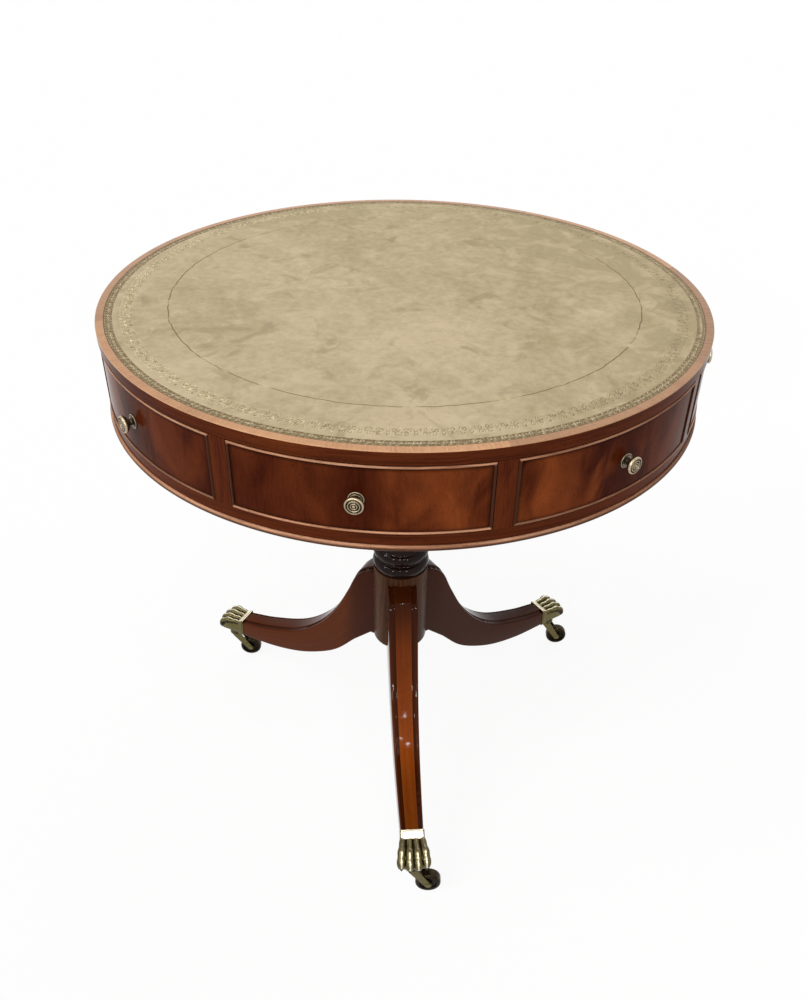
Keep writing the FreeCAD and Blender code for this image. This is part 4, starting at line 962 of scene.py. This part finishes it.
# Knobs: turned brass on a round rose, each on a threaded shank with a nut sunk in the back of its front. The
# face is cut in rings round a small boss, and grime has settled in them.
# From the rose to the middle of the face: the radius and the height in millimetres, and the wear
knob_face = [
    (0, 0, 0.2), (8.4, 0, 0.3), (8.4, 0.7, 0.5), (8.1, 1.2, 0.8), (7.5, 1.55, 0.7), (6.9, 1.4, 0.1),
    (6.5, 1.5, 0.1), (6, 2, 0.7), (5.2, 2.2, 0.6), (4.2, 2.3, 0.3), (3.7, 2.8, 0.1), (3.5, 3.8, 0.3),
    (3.6, 4.8, 0.3), (4.1, 5.5, 0.2), (5.4, 6, 0.4), (7.2, 7.3, 0.5), (8.5, 8.7, 0.4), (9.1, 9.4, 0.2),
    (9.6, 9.8, 0.8), (9.8, 10.6, 1), (9.8, 11.6, 1), (9.5, 12.6, 1), (8.9, 13.3, 1), (8.2, 13.5, 0.9),
    (7.6, 13.2, 0.3), (7.3, 12.7, 0), (6.8, 12.7, 0), (6.5, 13.1, 0.4), (5.9, 13.7, 0.9), (5.4, 13.7, 0.9),
    (4.9, 13.1, 0.4), (4.6, 12.7, 0), (4.1, 12.7, 0), (3.8, 13.2, 0.5), (3.3, 13.7, 0.9), (2.8, 13.7, 0.9),
    (2.4, 13.2, 0.3), (2.1, 13, 0), (1.7, 13.3, 0.4), (1.2, 13.9, 0.9), (0.6, 14.2, 1), (0, 14.2, 1)]
nut_half_width = 4.5 * mm
nut_height = 4 * mm
nut_sunk = 2 * mm
shank_length = face_radius - front_back - nut_sunk
shank_radius = 2.5 * mm
shank_wear = 0.4


def on_front(grid):
    """A turning about Z laid over, so that its axis runs out of the middle of the front on -Y."""
    return np.stack([grid[..., 0], -grid[..., 2] - face_radius, grid[..., 1] + front_middle], -1)


# Antique brass: greyed and dull in the rings, pale where fingers polish the rims
knob_brass = brass("antique_turned_brass", bright="#b8a78b", dull="#6e604d", grime="#221b14",
                   roughness=0.28, cast_size=2.5 * mm)
knob_table = np.array(knob_face)
knob_profile = knob_table[:, :2] * mm
nut_corner = nut_half_width / math.cos(math.pi / 6)
nut_grid = lathe([(0, -shank_length), (nut_corner, -shank_length), (nut_corner, nut_height - shank_length),
                  (0, nut_height - shank_length)], 6)
shank_grid = lathe([(0, -shank_length), (shank_radius, -shank_length), (shank_radius, 0), (0, 0)], 20)
knob_grids = [on_front(grid) for grid in (lathe(knob_profile, 56), shank_grid, nut_grid)]
knob_wear = [np.broadcast_to(knob_table[:, 2:], knob_grids[0].shape[:2])]
knob_wear += [np.full(grid.shape[:2], shank_wear) for grid in (shank_grid, nut_grid)]
for number, angle in enumerate(drawer_turns, 1):
    knob = solid("drawer_%d_knob_turned" % number, [turned(grid, angle) for grid in knob_grids], knob_brass,
                 wear=knob_wear, crisp=50)
    dress(knob, "drawer_%d" % number, "drawer_%d_knob" % number)
dummy_knob_grids = [turned(grid, angle + front_pitch) for angle in drawer_turns for grid in knob_grids]
dummy_knobs = solid("dummy_knobs_turned", dummy_knob_grids, knob_brass, wear=knob_wear * len(drawer_turns),
                    crisp=50)
dress(dummy_knobs, "drum", "dummy_knobs")

# Top board: a round mahogany board over the drum, its edge veneered to match the rails. On it lies a narrow
# crossband in eight lengths, cut with the grain pointing at the middle and butted over the stiles.
board_low, board_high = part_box("top_board")
top_radius = board_high.x
crossband_width = 9.2 * mm
crossband_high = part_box("top_crossband")[1].z
crossband_joint = 0.15 * mm
# How light each length of the crossband is drawn: partly its own faded shade, partly a painted reflection
# that is brightest on the front length and darker towards the right
length_tones_and_sheen = [0.54, 0.9, 0.8, 0.86, 0.68, 0.87, 1.0, 0.66]
arris = 0.8 * mm
board_profile = [(0, board_low.z), (top_radius - rail_edge, board_low.z),
                 (top_radius, board_low.z + rail_edge), (top_radius, board_high.z), (0, board_high.z)]
top_board = solid("top_board_veneered", [lathe(board_profile, drum_turns)], rail_veneer)
crossband_inner = top_radius - crossband_width
crossband_profile = np.concatenate([
    [(crossband_inner, board_high.z), (top_radius, board_high.z)],
    bow((top_radius, crossband_high - arris), (top_radius - arris, crossband_high), arris * quarter_rise, 6),
    [(crossband_inner, crossband_high), (crossband_inner, board_high.z)]])


def crossband_length(step, columns=46):
    """One length of the crossband: its section carried round between two stiles, less half a joint at each
    end."""
    first = math.radians(front_pitch * (step - 0.5)) + crossband_joint / top_radius / 2
    last = math.radians(front_pitch * (step + 0.5)) - crossband_joint / top_radius / 2
    angle = np.linspace(first, last, columns)[:, None]
    radius, height = crossband_profile.T
    return capped(np.stack([radius * np.cos(angle), radius * np.sin(angle), height + 0 * angle], -1))


# Crossbanding: short grain across the band, faded to a light red-brown and lightened further by a painted
# reflection of the lamps; each length has its own shade, which is partly painted light, brightest on the
# front length
crossband_veneer = wood("faded_mahogany_crossband_painted_sheen", round_grain(("round", "out", "up")),
                        tones=("#bf8c66", "#cb9870", "#dca97c"), figure=(16 * mm, 40 * mm),
                        streak=(2.2 * mm, 40 * mm), pore=(0.3 * mm, 3 * mm), polish=(0.25, 0.2),
                        rubbed=True)
crossband_grids = [crossband_length(step) for step in range(front_count)]
# Each length's shade is partly a painted reflection, brightest on the front length
crossband = solid("top_crossband_veneered", crossband_grids, crossband_veneer,
                  wear=[np.full(grid.shape[:2], tone) for grid, tone in zip(crossband_grids, length_tones_and_sheen)])
dress(top_board, "drum", "top_board")
dress(crossband, "drum", "top_crossband")

# Leather: one hide skived thin and glued inside the crossband. Heated wheels have rolled a dark wave border
# and a wide gilt border of palmettes and scrolls into it, and a creasing tool has run a line further in.
leather_low, leather_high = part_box("leather_top")
leather_gap = 0.1 * mm
leather_radius = crossband_inner - leather_gap
leather_turns = 720
wave_middle, wave_half, wave_count = 354.3 * mm, 4.6 * mm, 318
gilt_middle, gilt_half, gilt_count = 335 * mm, 8 * mm, 80
line_radius, line_half, line_sway = 286.3 * mm, 0.6 * mm, 0.25 * mm
# The hand's sway along the creased line: counts round the drum and where each wave starts
line_waves = [(7, 0.4), (19, 1.9), (37, 0.2), (61, 2.6), (89, 1.1)]
tool_depth = 0.2 * mm


def leather_surface():
    """The hide: from the middle of its underside round to the middle of its top, flat, with the tooled bands
    pressed in, carried round the drum. The creased line sways by a sum of waves. The wear is 1 in the line
    and 0 elsewhere."""
    top = leather_high.z
    pressed = top - tool_depth
    rows = [(0, leather_low.z, 0), (leather_radius, leather_low.z, 0), (leather_radius, pressed, 0),
            (leather_radius - tool_depth, top, 0)]
    bands = [(wave_middle, wave_half, 0), (gilt_middle, gilt_half, 0), (line_radius, line_half, 1)]
    for middle, half, creased in bands:
        rows += [(middle + half + tool_depth, top, 0), (middle + half, pressed, creased),
                 (middle - half, pressed, creased), (middle - half - tool_depth, top, 0)]
    rows += [(radius * mm, top, 0) for radius in (240, 180, 120, 60, 0)]
    radius, height, worn = np.array(rows).T
    points = lathe(np.stack([radius, height], 1), leather_turns)
    around = np.linspace(0, 2 * math.pi, leather_turns + 1)
    sway = sum(np.sin(count * around + start) for count, start in line_waves) * line_sway
    near_line = (abs(radius - line_radius) < 2 * line_half)[:, None]
    points[..., :2] *= 1 + (near_line * sway / line_radius)[..., None]
    return points, np.broadcast_to(worn[:, None], points.shape[:2])


def border_place(tree, angle, reach, middle, count):
    """The distances along and across one repeat of a rolled border, from the middle of the repeat."""
    repeat = 2 * math.pi / count
    share = add(tree, "Math", {0: angle, 1: repeat / 2, 2: -repeat / 2}, operation="WRAP")
    along = add(tree, "Math", {0: share, 1: middle}, operation="MULTIPLY")
    across = add(tree, "Math", {0: reach, 1: middle}, operation="SUBTRACT")
    return add(tree, "CombineXYZ", {0: along, 1: across})


def curl(tree, place, middle, size, gap, way):
    """A spiral round a point: the distance from it in gaps, plus the share of a turn, is near a half."""
    offset = add(tree, "VectorMath", {0: place, 1: middle}, operation="SUBTRACT")
    parts = add(tree, "SeparateXYZ", {0: offset})
    turn = add(tree, "Math", {0: parts.outputs["Y"], 1: parts.outputs["X"]}, operation="ARCTAN2")
    out = add(tree, "VectorMath", {0: offset}, operation="LENGTH")
    rings = add(tree, "Math", {0: out, 1: gap}, operation="DIVIDE")
    phase = add(tree, "Math", {0: turn, 1: way / (2 * math.pi), 2: rings}, operation="MULTIPLY_ADD")
    nearness = add(tree, "Math", {0: phase, 1: 0.5}, operation="PINGPONG")
    stroke = add(tree, "Math", {0: nearness, 1: 0.3}, operation="GREATER_THAN")
    inside = add(tree, "Math", {0: out, 1: size}, operation="LESS_THAN")
    return add(tree, "Math", {0: stroke, 1: inside}, operation="MULTIPLY")


def fan(tree, place, foot, height, leaves):
    """A palmette in outline: leaves that spread from a foot. The distance from the foot is close to a height
    that rises and falls with the cosine of the leaves' angle."""
    offset = add(tree, "VectorMath", {0: place, 1: foot}, operation="SUBTRACT")
    parts = add(tree, "SeparateXYZ", {0: offset})
    lean = add(tree, "Math", {0: parts.outputs["X"], 1: parts.outputs["Y"]}, operation="ARCTAN2")
    turns = add(tree, "Math", {0: lean, 1: leaves}, operation="MULTIPLY")
    wave = add(tree, "Math", {0: turns}, operation="COSINE")
    edge = add(tree, "Math", {0: wave, 1: 0.36 * height, 2: 0.64 * height}, operation="MULTIPLY_ADD")
    out = add(tree, "VectorMath", {0: offset}, operation="LENGTH")
    share = add(tree, "Math", {0: out, 1: edge}, operation="DIVIDE")
    outline = add(tree, "Math", {0: share, 1: 0.9, 2: 0.1}, operation="COMPARE")
    forward = add(tree, "Math", {0: lean, 1: 0.0, 2: 1.9}, operation="COMPARE")
    return add(tree, "Math", {0: outline, 1: forward}, operation="MULTIPLY")


def gilt_strokes(tree, place):
    """The gilt border's repeat, the same on both sides of its middle: one palmette in another, two curls
    beside them, and half a rosette at the end."""
    split = add(tree, "SeparateXYZ", {0: place})
    aside = add(tree, "Math", {0: split.outputs["X"]}, operation="ABSOLUTE")
    folded = add(tree, "CombineXYZ", {0: aside, 1: split.outputs["Y"]})
    strokes = fan(tree, folded, (0, -6.5 * mm, 0), 13.5 * mm, 7)
    for part in (fan(tree, folded, (0, -6.5 * mm, 0), 7 * mm, 5),
                 curl(tree, folded, (7 * mm, -3.4 * mm, 0), 4.6 * mm, 2.6 * mm, 1),
                 curl(tree, folded, (9.5 * mm, 4 * mm, 0), 3.8 * mm, 2.4 * mm, -1),
                 fan(tree, folded, (13 * mm, -3.5 * mm, 0), 5 * mm, 6)):
        strokes = add(tree, "Math", {0: strokes, 1: part}, operation="MAXIMUM")
    return strokes


def wave_strokes(tree, place):
    """The dark border's repeat: two curls that turn against each other."""
    first = curl(tree, place, (-1.7 * mm, 1.2 * mm, 0), 3 * mm, 2.3 * mm, 1)
    second = curl(tree, place, (1.8 * mm, -1.2 * mm, 0), 3 * mm, 2.3 * mm, -1)
    return add(tree, "Math", {0: first, 1: second}, operation="MAXIMUM")


# Aged hide: a dun green-gold skin, clouded and wiped by wear, with leaf that is worn off in places. Painted
# light: the hide is lighter towards the front and darker to the right, the leaf shows more on the left where
# it catches the light, and a dark shifted copy of the strokes is a painted shadow of the tooling. Its pebbles
# are drawn coarser than real ones, which are too fine to show
leather, tree, gloss = new_finish("tooled_gilt_hide")
split = add(tree, "SeparateXYZ", {0: add(tree, "TexCoord").outputs["Object"]})
flat = add(tree, "CombineXYZ", {0: split.outputs["X"], 1: split.outputs["Y"]})
reach = add(tree, "VectorMath", {0: flat}, operation="LENGTH")
angle = add(tree, "Math", {0: split.outputs["Y"], 1: split.outputs["X"]}, operation="ARCTAN2")
clouds = add(tree, "TexNoise", {"Vector": flat, "Scale": 1 / (160 * mm), "Detail": 4.0, "Distortion": 0.8})
wiped = add(tree, "TexNoise", {"Vector": flat, "Scale": 1 / (36 * mm), "Detail": 7.0, "Roughness": 0.64,
                               "Distortion": 0.5})
blots = add(tree, "TexNoise", {"Vector": flat, "Scale": 1 / (60 * mm), "Detail": 6.0, "Roughness": 0.6,
                               "Distortion": 0.9})
rubbing = add(tree, "TexNoise", {"Vector": flat, "Scale": 1 / (6 * mm), "Detail": 5.0, "Roughness": 0.75})
pebbles = add(tree, "TexVoronoi", {"Vector": flat, "Scale": 1 / (1.6 * mm)})
mottle = add(tree, "TexNoise", {"Vector": flat, "Scale": 1 / (11 * mm), "Detail": 6.0, "Roughness": 0.7})
# Painted light: the hide is drawn lighter towards the front and darker to the right
painted_light_near = add(tree, "Math", {0: split.outputs["Y"], 1: -0.5, 2: clouds}, operation="MULTIPLY_ADD")
painted_shade_right = add(tree, "MapRange", {"Value": split.outputs["X"], "From Min": 100 * mm, "From Max": 300 * mm,
                                      "To Max": -0.3})
uneven = add(tree, "Math", {0: painted_light_near, 1: painted_shade_right}, operation="ADD")
cloudy = add(tree, "Math", {0: uneven, 1: mottle}, operation="ADD")
clouded = add(tree, "MapRange", {"Value": cloudy, "From Min": 0.75, "From Max": 1.25})
ground = add(tree, "Mix", {"Factor": clouded, "A": linear("#a69671"), "B": linear("#c6b391")},
             data_type="RGBA")
wiping = add(tree, "MapRange", {"Value": wiped, "From Min": 0.48, "From Max": 0.7, "To Max": 0.6})
paler = add(tree, "Mix", {"Factor": wiping, "A": ground, "B": linear("#d3c19f")}, data_type="RGBA")
blotted = add(tree, "MapRange", {"Value": blots, "From Min": 0.57, "From Max": 0.66, "To Max": 0.55})
hide = add(tree, "Mix", {"Factor": blotted, "A": paler, "B": linear("#928362")}, data_type="RGBA")
gilt_place = border_place(tree, angle, reach, gilt_middle, gilt_count)
# Painted shadow: the gilt pattern again, shifted a little to one side of the strokes
shadow_place = add(tree, "VectorMath", {0: gilt_place, 1: (0.5 * mm, 0.6 * mm, 0)}, operation="ADD")
wave_place = border_place(tree, angle, reach, wave_middle, wave_count)
in_gilt = add(tree, "Math", {0: reach, 1: gilt_middle, 2: gilt_half}, operation="COMPARE")
in_wave = add(tree, "Math", {0: reach, 1: wave_middle - wave_half}, operation="GREATER_THAN")
left_on = add(tree, "MapRange", {"Value": rubbing, "From Min": 0.4, "From Max": 0.6})
# Painted reflection: the leaf shows more towards the left, where it catches the light, and less to the right
painted_glare_side = add(tree, "MapRange", {"Value": split.outputs["X"], "From Min": -200 * mm, "From Max": 250 * mm,
                                   "To Min": 1.0, "To Max": 0.4})
leaf = add(tree, "Math", {0: gilt_strokes(tree, gilt_place), 1: in_gilt}, operation="MULTIPLY")
gold_kept_and_glare = add(tree, "Math", {0: left_on, 1: painted_glare_side}, operation="MULTIPLY")
gold = add(tree, "Math", {0: leaf, 1: gold_kept_and_glare}, operation="MULTIPLY")
# The shifted copy is darkened as a painted shadow of the tooled strokes
shadow_strokes = add(tree, "Math", {0: gilt_strokes(tree, shadow_place), 1: in_gilt}, operation="MULTIPLY")
shadow_share = add(tree, "Math", {0: shadow_strokes, 1: 0.8}, operation="MULTIPLY")
shadowed = add(tree, "Mix", {"Factor": shadow_share, "A": hide, "B": linear("#66522f")}, data_type="RGBA")
gilded = add(tree, "Mix", {"Factor": gold, "A": shadowed, "B": linear("#f3e2b4")}, data_type="RGBA")
strokes = add(tree, "Math", {0: wave_strokes(tree, wave_place), 1: left_on}, operation="MULTIPLY")
wave_colour = add(tree, "Mix", {"Factor": strokes, "A": linear("#786544"), "B": linear("#e2d0aa")},
                  data_type="RGBA")
bordered = add(tree, "Mix", {"Factor": in_wave, "A": gilded, "B": wave_colour}, data_type="RGBA")
in_line = add(tree, "Attribute", attribute_name="wear").outputs["Fac"]
# The creased line is drawn darker at the front and fainter towards the back
fainter_behind = add(tree, "MapRange", {"Value": split.outputs["Y"], "From Min": 120 * mm, "From Max": 260 * mm,
                               "To Min": 0.8, "To Max": 0.2})
crease = add(tree, "Math", {0: in_line, 1: fainter_behind}, operation="MULTIPLY")
leaf_left = add(tree, "MapRange", {"Value": wiped, "From Min": 0.52, "From Max": 0.66})
line_colour = add(tree, "Mix", {"Factor": leaf_left, "A": linear("#65532f"), "B": linear("#d8c596")},
                  data_type="RGBA")
creased = add(tree, "Mix", {"Factor": crease, "A": bordered, "B": line_colour}, data_type="RGBA")
sheen = add(tree, "MapRange", {"Value": wiped, "To Min": 0.45, "To Max": 0.7})
tooled = add(tree, "Math", {0: leaf, 1: -1.0, 2: pebbles}, operation="MULTIPLY_ADD")
relief = add(tree, "Bump", {"Strength": 0.2, "Distance": 0.2 * mm, "Height": tooled})
coat(tree, gloss, creased, sheen, relief)
gloss.inputs["Specular IOR Level"].default_value = 0.25
leather_grid, leather_wear = leather_surface()
leather_top = solid("leather_top_tooled", [leather_grid], leather, wear=[leather_wear])
dress(leather_top, "drum", "leather_top")

# Floor: a wide sheet of white studio paper under the table. To the camera and in reflections most of it is
# plain white, so it stays pale and keeps a faint soft shadow.
floor_half = 20.0
floor_mesh = bpy.data.meshes.new("floor")
floor_corners = [(floor_half * x, floor_half * y, 0) for x, y in ((-1, -1), (1, -1), (1, 1), (-1, 1))]
floor_mesh.from_pydata(floor_corners, [], [(0, 1, 2, 3)])


def background_ray(tree):
    """1 for the rays that show the background: from the camera, from a mirror or through glass."""
    path = add(tree, "LightPath")
    mirrored = add(tree, "Math", {0: path.outputs["Is Camera Ray"], 1: path.outputs["Is Glossy Ray"]},
                   operation="MAXIMUM")
    return add(tree, "Math", {0: mirrored, 1: path.outputs["Is Transmission Ray"]}, operation="MAXIMUM")


paper, tree, gloss = new_finish("white_studio_paper")
fibres = add(tree, "TexNoise", {"Vector": add(tree, "TexCoord").outputs["Object"], "Scale": 1 / (3 * mm)})
paper_colour = add(tree, "Mix", {"Factor": fibres, "A": linear("#f6f6f4"), "B": linear("#fbfbfa")},
                   data_type="RGBA")
tree.links.new(paper_colour.outputs[2], gloss.inputs["Base Color"])
gloss.inputs["Roughness"].default_value = 1.0
gloss.inputs["Specular IOR Level"].default_value = 0.0
share = add(tree, "Math", {0: background_ray(tree), 1: 0.9}, operation="MULTIPLY")
glow = add(tree, "Emission", {"Color": (1, 1, 1, 1), "Strength": 1.0})
shown = add(tree, "MixShader", {0: share, 1: gloss, 2: glow})
tree.links.new(shown.outputs[0], tree.nodes["Material Output"].inputs["Surface"])
floor_mesh.materials.append(paper)
floor = bpy.data.objects.new("floor", floor_mesh)
bpy.context.scene.collection.objects.link(floor)

# Light: an even white room, a wide soft lamp from the upper left, a weaker one from behind on the right, and
# two rows of small spots in front, high and low, which the polish shows as sparks.
world = bpy.data.worlds.new("white_room")
world.use_nodes = True
bpy.context.scene.world = world
tree = world.node_tree
room = tree.nodes["Background"]
strength = add(tree, "MapRange", {"Value": background_ray(tree), "To Min": 0.4, "To Max": 1.0})
tree.links.new(strength.outputs[0], room.inputs["Strength"])
room.inputs["Color"].default_value = (1, 1, 1, 1)
# Each lamp's azimuth, elevation, power and width across
lamps = [("key_lamp", -55, 50, 1.0, 40), ("back_lamp", 150, 50, 0.3, 50)]
spots = [("high_spot_%d", 0.11, 2, [(15, 43), (8, 61), (21, 67), (34, 59), (-14, 64)]),
         ("low_spot_%d", 0.27, 3, [(-58, 26), (-22, 21), (0, 27), (28, 22)])]
for name, power, width, places in spots:
    lamps += [(name % number, *spot, power, width) for number, spot in enumerate(places, 1)]
for name, azimuth, elevation, power, width in lamps:
    lamp = bpy.data.lights.new(name, "SUN")
    lamp.energy = power
    lamp.angle = math.radians(width)
    holder = bpy.data.objects.new(name, lamp)
    a, e = math.radians(azimuth), math.radians(elevation)
    towards = Vector((math.sin(a) * math.cos(e), -math.cos(a) * math.cos(e), math.sin(e)))
    holder.rotation_euler = towards.to_track_quat("Z", "Y").to_euler()
    bpy.context.scene.collection.objects.link(holder)

# Camera: standing in front, a little to the right of the middle of a drawer, looking down on the leather.
camera_distance = 1.0756
camera_height = 1.2031
camera_azimuth = math.radians(6.8)
camera_down = math.radians(35.21)
camera_aside = math.radians(0.13)
camera_roll = math.radians(1.03)
camera = bpy.data.cameras.new("camera")
camera.lens = 33.12
camera.sensor_width = 36
viewer = bpy.data.objects.new("camera", camera)
camera_x = camera_distance * math.sin(camera_azimuth)
camera_y = -camera_distance * math.cos(camera_azimuth)
viewer.matrix_world = (Matrix.Translation((camera_x, camera_y, camera_height))
                       @ Matrix.Rotation(camera_azimuth - camera_aside, 4, "Z")
                       @ Matrix.Rotation(math.pi / 2 - camera_down, 4, "X")
                       @ Matrix.Rotation(camera_roll, 4, "Z"))
bpy.context.scene.collection.objects.link(viewer)
bpy.context.scene.camera = viewer
bpy.context.scene.view_settings.view_transform = "Standard"
